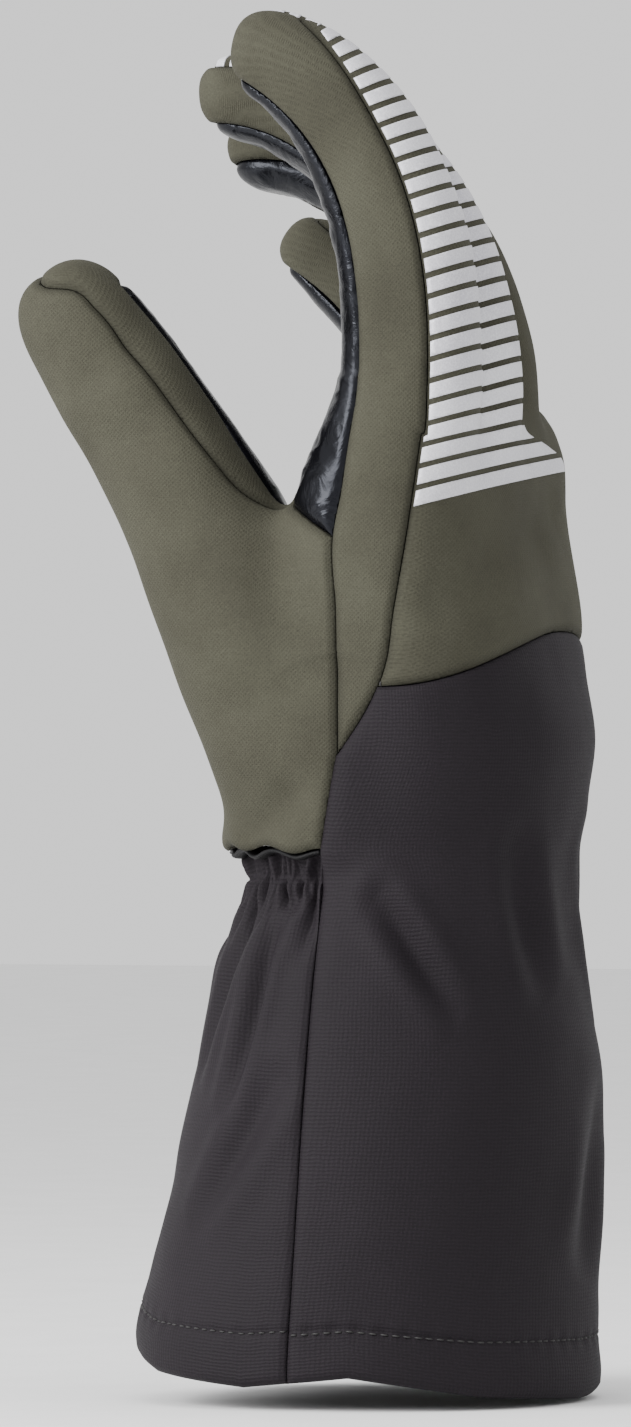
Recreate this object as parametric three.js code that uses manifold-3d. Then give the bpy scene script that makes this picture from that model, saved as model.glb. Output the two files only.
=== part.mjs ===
import * as THREE from 'three';
import { mergeVertices } from 'three/addons/utils/BufferGeometryUtils.js';
import Module from 'manifold-3d';

const wasm = await Module();
wasm.setup();

// Right-hand winter glove with a long flared cuff, standing as if worn.
// Millimetres and degrees. +X is the back of the hand, -X the palm side,
// -Y the thumb side, +Z the fingertips. The origin is the centre of the cuff opening.

// Walls and clearances
const handWall = 2.8;
const cuffWall = 2.4;
const hemWall = 3.6;
const seamGap = 0.3;

// Cuff, from the rim up to the piped wrist seam
const cuffLength = 120.5;
const rimDepth = 100.5;
const rimWidth = 108;
const rimLift = 13;
const hemHeight = 13;
const hemStep = 0.01;
const rimOverrun = 0.05;
const wristDepth = 70.5;
const wristWidth = 84;
const wristSetback = 10.4;
const pipingRadius = 1.1;
const pipingSeat = 1.7;
const pipingInset = 0.1;

// Gathers under the piping on the palm side
const pleatCount = 12;
const pleatDepth = 1.8;
const pleatRise = [0.84, 0.93];
const pleatFall = [0.96, 1];
const pleatLoss = 0.45;
const liningRise = [0.8, 0.9];

// Hand, from the wrist seam up to the knuckle line
const palmLength = 90.5;
const heelDepth = 77;
const heelSetback = 7.6;
const knuckleDepth = 33;
const knuckleWidth = 97;
const knuckleSetback = 19.5;
const knuckleSlope = 6;
const webHeight = 11;
const tuckHeight = 4;
const tuckInset = 5.6;

// Back panel: its lower edge arches up toward the middle of the hand
const archHeight = 37.5;
const archRise = 10.5;
const archCentre = 8;

// Side strips that narrow to a point on the side seams
const seamSetback = 8.6;
const stripReach = 21;
const littleStripShift = 7.4;
const outerStrip = 16.5;
const innerStrip = 14;
const stripRoot = 3;
const stripSetback = 1;
const sideReach = 26;
const stripOverlap = 2;
const stripOverrun = 3;

// First to little finger, then the thumb: root place, length past the root, section,
// heading at the root, curl toward the palm, how late it curls, splay,
// and how far the root lies under the knuckle line
const digitTable = [
  ['x', 'y', 'drop', 'length', 'depth', 'width', 'start', 'curl', 'ease', 'splay'],
  [22.3, -35.5, 0, 103, 30, 24, -4, 80, 1.8, -4],
  [24.5, -11.5, 0, 109, 28, 24, -2, 97, 1.4, -1],
  [21.5, 12, 0, 98.5, 27, 23, 3, 103, 1.5, 2],
  [15.5, 34, 4, 70.5, 24, 21, 28, 30, 1, 6],
  [0.5, -22, 90, 142, 44, 42, 10, 25.5, 0.62, -8],
];

// How many faces a section and a length get
const curveSteps = 24;
const outerSteps = { cuffPalm: 3 * pleatCount, cuffBack: 16, hand: 28, finger: 12, thumb: 14 };
const innerSteps = { cuffPalm: 12, cuffBack: 8, hand: 12, finger: 8, thumb: 8 };
const stripSteps = 6;
const wedgeSteps = 3;
const wedgeRows = 8;
const tipRows = 2;
const archSteps = 10;
const pipingSteps = 26;
const curveSegments = 3;
const far = 130;

// Squareness of the cuff's and the digits' sections, and the least half width of one
const cuffPower = 2.15;
const digitPower = 2.3;
const leastHalf = 0.6;

const knuckleHeight = cuffLength + palmLength;

// Each digit's row as an object under the table's column names
const [columns, ...digitRows] = digitTable;
const digits = digitRows.map((row) => Object.fromEntries(row.map((value, i) => [columns[i], value])));
const fingers = digits.slice(0, 4);
const [index, , , little, thumb] = digits;
const wedgeReach = 0.58 * thumb.depth;
const rad = THREE.MathUtils.degToRad;
const mix = THREE.MathUtils.lerp;

// Straight-line reading of a table whose first column rises
function read(table, share, column) {
  const last = table.length - 1;
  let row = 0;
  while (row < last - 1 && share > table[row + 1][0]) {
    row += 1;
  }
  const span = table[row + 1][0] - table[row][0];
  const part = THREE.MathUtils.clamp((share - table[row][0]) / span, 0, 1);
  return mix(table[row][column], table[row + 1][column], part);
}

// Cuff sections: share of the cuff length, then how far the depth, the width
// and the setback have gone from the rim (0) to the wrist (1)
const cuffRows = [
  [0, 0.03, 0.03, 0],
  [0.04, 0, 0, 0],
  [0.1, 0.05, 0.02, 0.02],
  [0.17, 0.12, 0.07, 0.1],
  [0.36, 0.26, 0.2, 0.38],
  [0.5, 0.35, 0.31, 0.55],
  [0.62, 0.49, 0.45, 0.7],
  [0.73, 0.68, 0.62, 0.74],
  [0.82, 0.8, 0.8, 0.75],
  [0.88, 0.9, 0.92, 0.85],
  [0.94, 1, 1, 1],
  [1, 0.9, 1, 0.86],
];

// Rim wave: half turns from the back of the hand, share of the rim lift
const rimFade = 0.4;
const rimRows = [
  [0, 0],
  [0.22, 0.15],
  [0.42, 0.5],
  [0.56, 0.32],
  [0.75, 0.5],
  [0.89, 0.85],
  [1, 1],
];

// Hand sections: share of the palm length, then how far the depth, the width
// and the setback have gone from the wrist (0) to the knuckles (1), and squareness
const handRows = [
  [0, 0, 0, 0, cuffPower],
  [0.12, 0.1, 0.1, 0.3, 2.2],
  [0.26, 0.26, 0.25, 0.68, 2.3],
  [0.44, 0.44, 0.55, 0.74, 2.4],
  [0.65, 0.62, 0.92, 0.8, 2.5],
  [0.84, 0.84, 0.95, 0.9, 2.6],
  [1, 1, 0.8, 1, 2.6],
];

// Web over the knuckles: share of the web height, then shares of the knuckle depth and width
const webRows = [
  [0.5, 0.84, 0.95],
  [0.82, 0.64, 0.88],
  [1, 0.4, 0.78],
];

// Pad between thumb and first finger: share of the palm length,
// then setback and depth as shares of the knuckle depth, width as a share of the finger's
const webPadRows = [
  [0.5, 0.2, 0.6, 0.7],
  [0.74, 0.24, 0.86, 0.96],
  [0.88, 0.32, 0.8, 1],
  [1, 0.41, 0.68, 0.98],
  [1.12, 0.52, 0.56, 0.9],
];

// Finger sections: share of the length, then shares of the depth and the width
const fingerRows = [
  [-0.16, 0.8, 0.84],
  [0.03, 0.98, 1],
  [0.28, 1, 1],
  [0.5, 0.94, 0.98],
  [0.7, 0.83, 0.95],
  [0.87, 0.7, 0.87],
  [0.97, 0.54, 0.66],
  [1, 0.33, 0.38],
];

// Thumb sections: share of the length, then shares of the depth and the width
const thumbRows = [
  [0, 0.92, 0.84],
  [0.14, 0.95, 0.95],
  [0.3, 0.92, 1],
  [0.43, 0.85, 0.95],
  [0.55, 0.77, 0.84],
  [0.7, 0.69, 0.74],
  [0.83, 0.63, 0.67],
  [0.92, 0.54, 0.57],
  [0.97, 0.4, 0.43],
  [1, 0.2, 0.22],
];

// Lower end of a side strip: share of the palm length, then its two edges past
// the side seam as shares of the strip's reach
const stripRows = [
  [0.87, 0.1, 0.88],
  [0.75, 0, 0.8],
  [0.57, 0, 0.64],
  [0.42, 0, 0.49],
  [0.34, 0, 0.31],
  [0.235, 0, 0.02],
];

// Side seam, upward: its height in palm and cuff lengths, and its share of the seam setback
const seamRows = [
  [0, -1, 0],
  [0, 0, 0],
  [0, 1, 0.47],
  [0.235, 1, 1],
];

// Thumb leather, stitched strip and strip end over the tip: share of the thumb's
// length, then two angles in degrees from the side that faces the fingers
const thumbPalmRows = [
  [0.5, -95, 2],
  [0.6, -95, -4],
  [0.72, -95, -8],
  [0.82, -95, -10],
  [0.92, -95, -12],
];
const thumbStripRows = [
  [0.49, -8, 8],
  [0.54, -14, 26],
  [0.62, -14, 40],
  [0.72, -14, 46],
  [0.82, -14, 55],
  [0.9, -14, 70],
  [0.94, -14, 84],
];
const thumbTipRows = [
  [0.935, -100, 84],
  [0.97, -100, 94],
  [1.04, -100, 100],
];

// Room round the thumb that belongs to its outer panel: share of the length,
// then half the room's width as a share of the thumb's depth
const thumbReachRows = [
  [0.3, 0.5],
  [0.55, 0.52],
  [0.7, 0.59],
  [1.05, 0.59],
];

// Inner edge of the thumb panel on the palm: share of the palm length, then of the half width
const thenarRows = [
  [-0.2, -0.08],
  [0.28, -0.08],
  [0.45, -0.14],
  [0.6, -0.26],
  [0.74, -0.42],
  [0.92, -0.6],
];

// Fork between thumb and palm: height on the seam and on the thumb as shares of
// the palm length, and reach toward the thumb as a share of the knuckle depth
const forkShares = [0.75, 0.89, 0.65];

// Superellipse point at an angle from the back of the hand
function section(halfDepth, halfWidth, power, angle) {
  const c = Math.cos(angle);
  const s = Math.sin(angle);
  const x = Math.sign(c) * Math.pow(Math.abs(c), 2 / power) * halfDepth;
  const y = Math.sign(s) * Math.pow(Math.abs(s), 2 / power) * halfWidth;
  return [x, y];
}

// Closed body through rings of equal count, each anticlockwise seen from its far end
function loft(rings) {
  const count = rings[0].length;
  const positions = [];
  const faces = [];
  for (const ring of rings) {
    for (const p of ring) {
      positions.push(p.x, p.y, p.z);
    }
  }
  for (let r = 0; r < rings.length - 1; r += 1) {
    for (let i = 0; i < count; i += 1) {
      const a = r * count + i;
      const b = r * count + ((i + 1) % count);
      faces.push(a, b, b + count, a, b + count, a + count);
    }
  }
  const ends = [rings[0], rings[rings.length - 1]];
  ends.forEach((ring, end) => {
    const middle = new THREE.Vector3();
    ring.forEach((p) => middle.add(p));
    middle.divideScalar(count);
    const centre = positions.length / 3;
    positions.push(middle.x, middle.y, middle.z);
    const base = end * (rings.length - 1) * count;
    for (let i = 0; i < count; i += 1) {
      const a = base + i;
      const b = base + ((i + 1) % count);
      faces.push(centre, end ? a : b, end ? b : a);
    }
  });
  const geometry = new THREE.BufferGeometry();
  geometry.setAttribute('position', new THREE.Float32BufferAttribute(positions, 3));
  geometry.setIndex(faces);
  return solid(geometry);
}

// Solid of a closed geometry
function solid(geometry) {
  const bare = geometry.clone();
  bare.deleteAttribute('normal');
  bare.deleteAttribute('uv');
  const merged = mergeVertices(bare, 1e-4);
  return new wasm.Manifold(new wasm.Mesh({
    numProp: 3,
    vertProperties: new Float32Array(merged.attributes.position.array),
    triVerts: new Uint32Array(merged.index.array),
  }));
}

// Geometry of a solid
function surface(body) {
  const mesh = body.getMesh();
  const geometry = new THREE.BufferGeometry();
  geometry.setAttribute('position', new THREE.Float32BufferAttribute(mesh.vertProperties, 3));
  geometry.setIndex([...mesh.triVerts]);
  geometry.computeVertexNormals();
  return geometry;
}

// Prism of an outline in the XZ plane between two Y values
function sidePrism(outline, low, high) {
  const shape = new THREE.Shape(outline.map(([x, z]) => new THREE.Vector2(x, z)));
  const geometry = new THREE.ExtrudeGeometry(shape, { depth: high - low, bevelEnabled: false });
  geometry.rotateX(Math.PI / 2);
  geometry.translate(0, high, 0);
  return solid(geometry);
}

// Prism of an outline in the YZ plane between two X values
function frontPrism(outline, low, high) {
  const shape = new THREE.Shape(outline.map(([y, z]) => new THREE.Vector2(y, z)));
  const geometry = new THREE.ExtrudeGeometry(shape, { depth: high - low, bevelEnabled: false });
  geometry.applyMatrix4(new THREE.Matrix4().set(0, 0, 1, low, 1, 0, 0, 0, 0, 1, 0, 0, 0, 0, 0, 1));
  return solid(geometry);
}

// Angles round a cuff section: finer steps on the palm side, which is gathered
function cuffAngles(cuffPalmSteps, cuffBackSteps) {
  const angles = [];
  for (let i = 0; i < cuffBackSteps / 2; i += 1) {
    angles.push((Math.PI * i) / cuffBackSteps);
  }
  for (let i = 0; i < cuffPalmSteps; i += 1) {
    angles.push(Math.PI / 2 + (Math.PI * i) / cuffPalmSteps);
  }
  for (let i = 0; i < cuffBackSteps / 2; i += 1) {
    angles.push(1.5 * Math.PI + (Math.PI * i) / cuffBackSteps);
  }
  return angles;
}

// Pleats: none on the back, deepest just under the piping
function pleat(angle, share) {
  const palm = Math.max(0, -Math.cos(angle));
  const rise = THREE.MathUtils.smoothstep(share, ...pleatRise);
  const fall = 1 - pleatLoss * THREE.MathUtils.smoothstep(share, ...pleatFall);
  const wave = 0.5 - 0.5 * Math.cos(2 * pleatCount * (angle - Math.PI / 2));
  return -pleatDepth * rise * fall * Math.min(1, 3 * palm) * wave;
}

// Cuff section: gathered on the outside, and drawn in behind the pleats on the inside
function cuffRing(share, wall, gathered) {
  const halfDepth = mix(rimDepth, wristDepth, read(cuffRows, share, 1)) / 2 - wall;
  const halfWidth = mix(rimWidth, wristWidth, read(cuffRows, share, 2)) / 2 - wall;
  const setback = wristSetback * read(cuffRows, share, 3);
  const lining = -pleatDepth * THREE.MathUtils.smoothstep(share, ...liningRise);
  const steps = gathered ? outerSteps : innerSteps;
  return cuffAngles(steps.cuffPalm, steps.cuffBack).map((angle) => {
    const fold = gathered ? pleat(angle, share) : lining;
    const [x, y] = section(halfDepth + fold, halfWidth + fold, cuffPower, angle);
    const turn = Math.min(angle, 2 * Math.PI - angle) / Math.PI;
    const lift = rimLift * read(rimRows, turn, 1) * Math.max(0, 1 - share / rimFade);
    return new THREE.Vector3(setback + x, y, share * cuffLength + lift);
  });
}

// Hand section, which drops toward the little finger by its slope
function handRing(handSteps, halfDepth, halfWidth, setback, power, height, slope) {
  const ring = [];
  for (let i = 0; i < handSteps; i += 1) {
    const angle = (2 * Math.PI * i) / handSteps;
    const [x, y] = section(halfDepth, halfWidth, power, angle);
    ring.push(new THREE.Vector3(setback + x, y, height - (slope * y) / knuckleWidth));
  }
  return ring;
}

// Hand body from just under the wrist seam to the web between the fingers
function handBody(wall, steps) {
  const size = (row) => [
    mix(heelDepth, knuckleDepth, row[1]) / 2 - wall,
    mix(wristWidth, knuckleWidth, row[2]) / 2 - wall,
    mix(heelSetback, knuckleSetback, row[3]),
    row[4],
  ];
  const inset = tuckInset + wall;
  const tuck = [wristDepth / 2 - inset, wristWidth / 2 - inset, wristSetback, cuffPower];
  const rings = [handRing(steps, ...tuck, cuffLength - tuckHeight, 0)];
  for (const row of handRows) {
    const height = cuffLength + row[0] * palmLength;
    rings.push(handRing(steps, ...size(row), height, knuckleSlope * row[0] ** 2));
  }
  const top = size(handRows[handRows.length - 1]);
  for (const [share, depth, width] of webRows) {
    const height = knuckleHeight + share * (webHeight - wall);
    const slope = knuckleSlope * (1 + share);
    rings.push(handRing(steps, top[0] * depth, top[1] * width, top[2], top[3], height, slope));
  }
  return loft(rings);
}

// Frame on a digit's centre line at a share of its length
function digitFrame(digit, share) {
  const part = Math.max(0, share) / curveSteps;
  const root = new THREE.Vector3(digit.x, digit.y, knuckleHeight - digit.drop);
  const turn = new THREE.Matrix4().makeRotationX(-rad(digit.splay));
  const heading = (t) => rad(digit.start + digit.curl * Math.pow(Math.max(0, t), digit.ease));
  const place = new THREE.Vector3();
  for (let i = 0; i < curveSteps; i += 1) {
    const h = heading((i + 0.5) * part);
    place.add(new THREE.Vector3(-Math.sin(h), 0, Math.cos(h)).multiplyScalar(part * digit.length));
  }
  const end = heading(share);
  const along = new THREE.Vector3(-Math.sin(end), 0, Math.cos(end));
  if (share < 0) {
    place.addScaledVector(along, share * digit.length);
  }
  const front = new THREE.Vector3(Math.cos(end), 0, Math.sin(end)).applyMatrix4(turn);
  const side = new THREE.Vector3(0, 1, 0).applyMatrix4(turn);
  return { place: place.applyMatrix4(turn).add(root), along: along.applyMatrix4(turn), front, side };
}

// Point beside a digit's centre line: out through its back, then toward the little finger
function digitPoint(frame, depth, width) {
  return frame.place.clone().addScaledVector(frame.front, depth).addScaledVector(frame.side, width);
}

// Closed body of a finger or the thumb
function digitBody(digit, rows, steps, wall) {
  const rings = rows.map(([share, depth, width]) => {
    const inset = share > 0 ? 1 - wall / digit.length : 1;
    const frame = digitFrame(digit, share * inset);
    const ring = [];
    for (let i = 0; i < steps; i += 1) {
      const angle = (2 * Math.PI * i) / steps;
      const halfDepth = Math.max(leastHalf, (digit.depth * depth) / 2 - wall);
      const halfWidth = Math.max(leastHalf, (digit.width * width) / 2 - wall);
      const [x, y] = section(halfDepth, halfWidth, digitPower, angle);
      ring.push(digitPoint(frame, x, y));
    }
    return ring;
  });
  return loft(rings);
}

// Pad of the palm between the thumb and the first finger
function thumbWeb(wall, steps) {
  const rings = webPadRows.map(([height, setback, depth, width]) => {
    const ring = [];
    for (let i = 0; i < steps; i += 1) {
      const angle = (2 * Math.PI * i) / steps;
      const halfDepth = (knuckleDepth * depth) / 2 - wall;
      const halfWidth = (index.width * width) / 2 - wall;
      const [x, y] = section(halfDepth, halfWidth, digitPower, angle);
      ring.push(new THREE.Vector3(knuckleDepth * setback + x, index.y + y, cuffLength + height * palmLength));
    }
    return ring;
  });
  return loft(rings);
}

// Rim to fingertips as one form
function form(wall, cuffForm, steps) {
  let body = handBody(wall, steps.hand).add(cuffForm).add(thumbWeb(wall, steps.finger));
  for (const finger of fingers) {
    body = body.add(digitBody(finger, fingerRows, steps.finger, wall));
  }
  return body.add(digitBody(thumb, thumbRows, steps.thumb, wall));
}

// The whole shell, hollow and open at the rim
function gloveShell() {
  const outerCuff = loft(cuffRows.map((row) => cuffRing(row[0], 0, true)));
  const hemShare = hemHeight / cuffLength;
  const innerRows = [[-rimOverrun, hemWall], [hemShare, hemWall], [hemShare + hemStep, cuffWall]];
  for (const row of cuffRows.filter((r) => r[0] > hemShare + 2 * hemStep)) {
    innerRows.push([row[0], cuffWall]);
  }
  innerRows[innerRows.length - 1][1] = handWall;
  const innerCuff = loft(innerRows.map(([share, wall]) => cuffRing(share, wall, false)));
  return form(0, outerCuff, outerSteps).subtract(form(handWall, innerCuff, innerSteps));
}

// How far the first and the last row of a cutter move out
function endShift(row, last, grow) {
  if (row === 0) {
    return -grow;
  }
  return row === last ? grow : 0;
}

// Cutter that follows a digit: rows of share, then low and high depth, low and high width
function digitCutter(digit, rows, grow) {
  const rings = rows.map(([share, depths, widths], i) => {
    const frame = digitFrame(digit, share + endShift(i, rows.length - 1, grow) / digit.length);
    const [low, high] = [depths[0] - grow, depths[1] + grow];
    const [near, away] = [widths[0] - grow, widths[1] + grow];
    return [
      digitPoint(frame, low, near),
      digitPoint(frame, high, near),
      digitPoint(frame, high, away),
      digitPoint(frame, low, away),
    ];
  });
  return loft(rings);
}

// Strip along one side of a finger, from its root to past the tip
function fingerStrip(finger, sign, stripWidth, reach, grow) {
  const half = stripWidth / 2;
  const widths = sign > 0 ? [0, reach] : [-reach, 0];
  const rows = [];
  const from = -stripRoot / finger.length;
  const to = 1 + stripOverrun / finger.length;
  for (let i = 0; i <= stripSteps; i += 1) {
    const share = mix(from, to, i / stripSteps);
    const shift = -stripSetback * (1 - Math.max(0, share));
    rows.push([share, [shift - half, shift + half], widths]);
  }
  return digitCutter(finger, rows, grow);
}

// Bottom of the strip between two fingers, across the web
function webPatch(near, next, stripWidth, grow) {
  const rings = [near, next].map((finger) => {
    const depths = [-stripWidth / 2 - stripSetback - grow, stripWidth / 2 - stripSetback + grow];
    const low = digitFrame(finger, -(stripRoot + grow) / finger.length);
    const high = digitFrame(finger, (webHeight + stripRoot + grow) / finger.length);
    return [
      digitPoint(low, depths[0], 0),
      digitPoint(high, depths[0], 0),
      digitPoint(high, depths[1], 0),
      digitPoint(low, depths[1], 0),
    ];
  });
  return loft(rings);
}

// Wedge round the thumb between two angles from the side that faces the fingers
function thumbWedge(rows, count, grow) {
  const rings = [];
  for (let i = 0; i <= count; i += 1) {
    const share = mix(rows[0][0], rows[rows.length - 1][0], i / count);
    const [low, high] = [read(rows, share, 1), read(rows, share, 2)];
    const frame = digitFrame(thumb, share + endShift(i, count, grow) / thumb.length);
    const spread = rad((high - low) / 2);
    const middle = rad((high + low) / 2);
    const back = grow / Math.sin(Math.min(spread, Math.PI / 2));
    const apex = [-back * Math.cos(middle), back * Math.sin(middle)];
    const ring = [digitPoint(frame, apex[0], apex[1])];
    for (let k = wedgeSteps; k >= 0; k -= 1) {
      const angle = rad(mix(low, high, k / wedgeSteps));
      const out = wedgeReach + 2 * back;
      ring.push(digitPoint(frame, apex[0] + out * Math.cos(angle), apex[1] - out * Math.sin(angle)));
    }
    rings.push(ring);
  }
  return loft(rings);
}

// Side seam as points of setback and height, moved toward the back by a clearance
function seamLine(grow) {
  return seamRows.map(([palmShare, cuffShare, share]) => [
    seamSetback * share + grow,
    palmShare * palmLength + cuffShare * cuffLength,
  ]);
}

// Lower end of a side strip: from the finger's root it narrows to a point on the side seam
function sideStrip(finger, sign, shift, grow) {
  const root = digitFrame(finger, stripOverlap / finger.length);
  const corner = (depth) => {
    const p = digitPoint(root, depth - stripSetback, 0);
    return [p.x, p.z];
  };
  const point = stripRows[stripRows.length - 1][0];
  const rows = stripRows.map(([height, low, high]) => {
    const base = seamSetback - shift * (height - point);
    const z = cuffLength + height * palmLength;
    return [z, base + stripReach * low - grow, base + stripReach * high + grow];
  });
  const outline = [
    corner(-outerStrip / 2 - grow),
    ...rows.map(([z, low]) => [low, z]),
    ...rows.map(([z, , high]) => [high, z]).reverse(),
    corner(outerStrip / 2 + grow),
  ];
  return sign < 0 ? sidePrism(outline, -far, -sideReach) : sidePrism(outline, sideReach, far);
}

// Everything behind the side seams and under the arched seam across the back
function backOfCuff(grow) {
  const seam = seamLine(-grow);
  const top = seam[seam.length - 1][0];
  const outline = [[far, -far], [far, 2 * far], [top, 2 * far], ...[...seam].reverse()];
  const side = knuckleWidth / 2;
  const arch = [];
  for (let i = 0; i <= archSteps; i += 1) {
    const y = mix(-side, side, i / archSteps);
    const fall = ((y - archCentre) / side) ** 2;
    arch.push([y, cuffLength + archHeight + archRise * (1 - fall) + grow]);
  }
  const ends = [[far, arch[archSteps][1]], [far, -far], [-far, -far], [-far, arch[0][1]]];
  return sidePrism(outline, -far, far).intersect(frontPrism([...arch, ...ends], -far, far));
}

// Thumb side of the palm below the fork, with the whole thumb
function thumbSide(grow) {
  const [forkHeight, padHeight, padReach] = forkShares;
  const seam = seamLine(grow);
  const top = seam[seam.length - 1];
  const padTop = cuffLength + padHeight * palmLength;
  const outline = [
    [-far, 0],
    ...seam,
    [top[0], cuffLength + forkHeight * palmLength],
    [top[0] - padReach * knuckleDepth, padTop],
    [-far, padTop],
  ];
  const inner = thenarRows.map(([height, share]) => [
    (share * knuckleWidth) / 2 + grow,
    cuffLength + height * palmLength,
  ]);
  const region = [[-far, inner[0][1]], ...inner, [-far, inner[inner.length - 1][1]]];
  const base = sidePrism(outline, -far, far).intersect(frontPrism(region, -far, far));
  const rows = thumbReachRows.map(([share, room]) => {
    const span = [-room * thumb.depth, room * thumb.depth];
    return [share, span, span];
  });
  return base.add(digitCutter(thumb, rows, grow));
}

// Slab between two heights
function slab(low, high) {
  return sidePrism([[-far, low], [far, low], [far, high], [-far, high]], -far, far);
}

// Largest separate body of a cut, without its crumbs
function largest(body) {
  const parts = body.decompose();
  parts.sort((a, b) => b.volume() - a.volume());
  return parts[0];
}

let rest = gloveShell();

// Takes a panel out of the shell and leaves the seam gap round it
function take(cutter) {
  const piece = rest.intersect(cutter(0));
  rest = rest.subtract(cutter(seamGap));
  return largest(piece);
}

const group = new THREE.Group();

// Adds a finished panel as a named mesh
function add(name, body, look) {
  const mesh = new THREE.Mesh(surface(body), look);
  mesh.name = name;
  group.add(mesh);
}

const olive = new THREE.MeshStandardMaterial({ color: 0x5e5c4e, roughness: 0.9, metalness: 0 });
const black = new THREE.MeshStandardMaterial({ color: 0x2b272b, roughness: 0.85, metalness: 0 });
const leather = new THREE.MeshStandardMaterial({ color: 0x1d1d20, roughness: 0.45, metalness: 0 });
const welt = new THREE.MeshStandardMaterial({ color: 0x3a3a38, roughness: 0.7, metalness: 0 });

// Side strips of the first and the little finger
add('gusset_index', take((grow) => (
  fingerStrip(index, -1, outerStrip, index.width, grow).add(sideStrip(index, -1, 0, grow))
)), olive);
add('gusset_little', take((grow) => (
  fingerStrip(little, 1, outerStrip, little.width, grow).add(sideStrip(little, 1, littleStripShift, grow))
)), olive);

// Strips between the fingers, each joined across the web
const webNames = ['gusset_index_middle', 'gusset_middle_ring', 'gusset_ring_little'];
webNames.forEach((name, i) => {
  const [near, next] = [fingers[i], fingers[i + 1]];
  const reach = (next.y - near.y) / 2 + seamGap;
  add(name, take((grow) => (
    fingerStrip(near, 1, innerStrip, reach, grow)
      .add(fingerStrip(next, -1, innerStrip, reach, grow))
      .add(webPatch(near, next, innerStrip, grow))
  )), olive);
});

// Thumb
add('thumb_palm', take((grow) => thumbWedge(thumbPalmRows, wedgeRows, grow)), leather);
add('thumb_strip', take((grow) => (
  thumbWedge(thumbStripRows, wedgeRows, grow).add(thumbWedge(thumbTipRows, tipRows, grow))
)), olive);

// Back of the cuff, then the two sides of the piped seam
const weltRoom = pipingRadius + seamGap;
add('cuff_back', take(backOfCuff), black);
const above = slab(cuffLength + weltRoom, 3 * far);
const below = slab(-far, cuffLength - weltRoom);
add('cuff_palm', largest(rest.intersect(below)), black);
rest = rest.intersect(above);
add('thumb_outer', take(thumbSide), olive);

// What is left is the back panel and the palm
const halves = rest.decompose().sort((a, b) => b.volume() - a.volume()).slice(0, 2);
const [palmHalf, backHalf] = halves.sort((a, b) => a.boundingBox().max[0] - b.boundingBox().max[0]);
add('hand_back', backHalf, olive);
add('palm', palmHalf, leather);

// Piping round the palm side of the wrist seam
function piping() {
  const points = [];
  const from = Math.PI / 2 + pipingInset;
  const to = 1.5 * Math.PI - pipingInset;
  for (let i = 0; i <= pipingSteps; i += 1) {
    const angle = mix(from, to, i / pipingSteps);
    const [x, y] = section(heelDepth / 2 - pipingSeat, wristWidth / 2 - seamGap, handRows[0][4], angle);
    points.push(new THREE.Vector3(heelSetback + x, y, cuffLength));
  }
  const round = new THREE.Shape().absarc(0, 0, pipingRadius, 0, 2 * Math.PI);
  const extrudePath = new THREE.CatmullRomCurve3(points);
  const options = { steps: pipingSteps, curveSegments, bevelEnabled: false, extrudePath };
  return new THREE.ExtrudeGeometry(round, options);
}

const cord = new THREE.Mesh(piping(), welt);
cord.name = 'wrist_piping';
group.add(cord);

export default group;
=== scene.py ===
import math

import bpy
import numpy as np
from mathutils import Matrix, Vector
from mathutils.kdtree import KDTree


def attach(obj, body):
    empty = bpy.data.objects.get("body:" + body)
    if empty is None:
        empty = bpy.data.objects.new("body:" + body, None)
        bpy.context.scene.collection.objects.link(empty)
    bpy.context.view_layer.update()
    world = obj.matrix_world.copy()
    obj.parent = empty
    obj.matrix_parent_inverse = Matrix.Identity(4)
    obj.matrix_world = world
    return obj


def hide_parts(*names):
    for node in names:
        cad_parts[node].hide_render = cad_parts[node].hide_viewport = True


# Right-hand winter glove with a long flared cuff. The mesh code works in millimetres.
# +X is the back of the hand, -X the palm, -Y the thumb side and +Z the fingertips.
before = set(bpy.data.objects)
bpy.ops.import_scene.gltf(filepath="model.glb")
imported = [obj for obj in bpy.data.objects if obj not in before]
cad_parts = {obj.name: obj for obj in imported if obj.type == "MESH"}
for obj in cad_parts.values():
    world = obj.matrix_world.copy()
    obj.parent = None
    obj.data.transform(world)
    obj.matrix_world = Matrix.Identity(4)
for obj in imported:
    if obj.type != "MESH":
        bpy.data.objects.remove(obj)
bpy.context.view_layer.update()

MM = 0.001
TINY = 1e-6
FAR = 60.0

# Walls
HAND_WALL = 2.8
CUFF_WALL = 2.4
HEM_WALL = 3.6

# Cuff, hand and the back panel's arched lower seam
CUFF = 120.5
RIM = (100.5, 108.0, 0.0)
WRIST = (70.5, 84.0, 10.4)
HEM_HEIGHT = 13.0
RIM_LIFT = 13.0
RIM_FADE = 0.4
CUFF_POWER = 2.15
PALM = 90.5
HEEL = (77.0, 84.0, 7.6)
KNUCKLE = (33.0, 97.0, 19.5)
KNUCKLE_HEIGHT = CUFF + PALM
KNUCKLE_SLOPE = 6.0
WEB = 11.0
ARCH_HEIGHT = 37.5
ARCH_RISE = 10.5
ARCH_CENTRE = 8.0
WELT_ROOM = 1.4
PIPING_RADIUS = 0.65

# Side seams and strips, with shares of a finger's width and length
SEAM_SETBACK = 8.6
STRIP_REACH = 21.0
LITTLE_SHIFT = 7.4
OUTER_STRIP = 16.5
INNER_STRIP = 14.0
STRIP_ROOT = 3.0
STRIP_JOIN = 6.0
STRIP_ROOM = 0.7
STRIP_TIP = (0.6, 0.95)
STRIP_SETBACK = 1.0
SIDE_REACH = 26.0
# Strips that differ: how far each widens over the tip and turns to the back, and its root
STRIP_TURN = {
    ("index", -1): (2.6, 0, -1.0), ("little", 1): (0, 0, -1.0), ("ring", -1): (0, 4.5, 3.0),
}

# Blends between the forms
FINGER_BLEND = 4.0
THUMB_BLEND = 9.0
PAD_BLEND = 7.0

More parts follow.
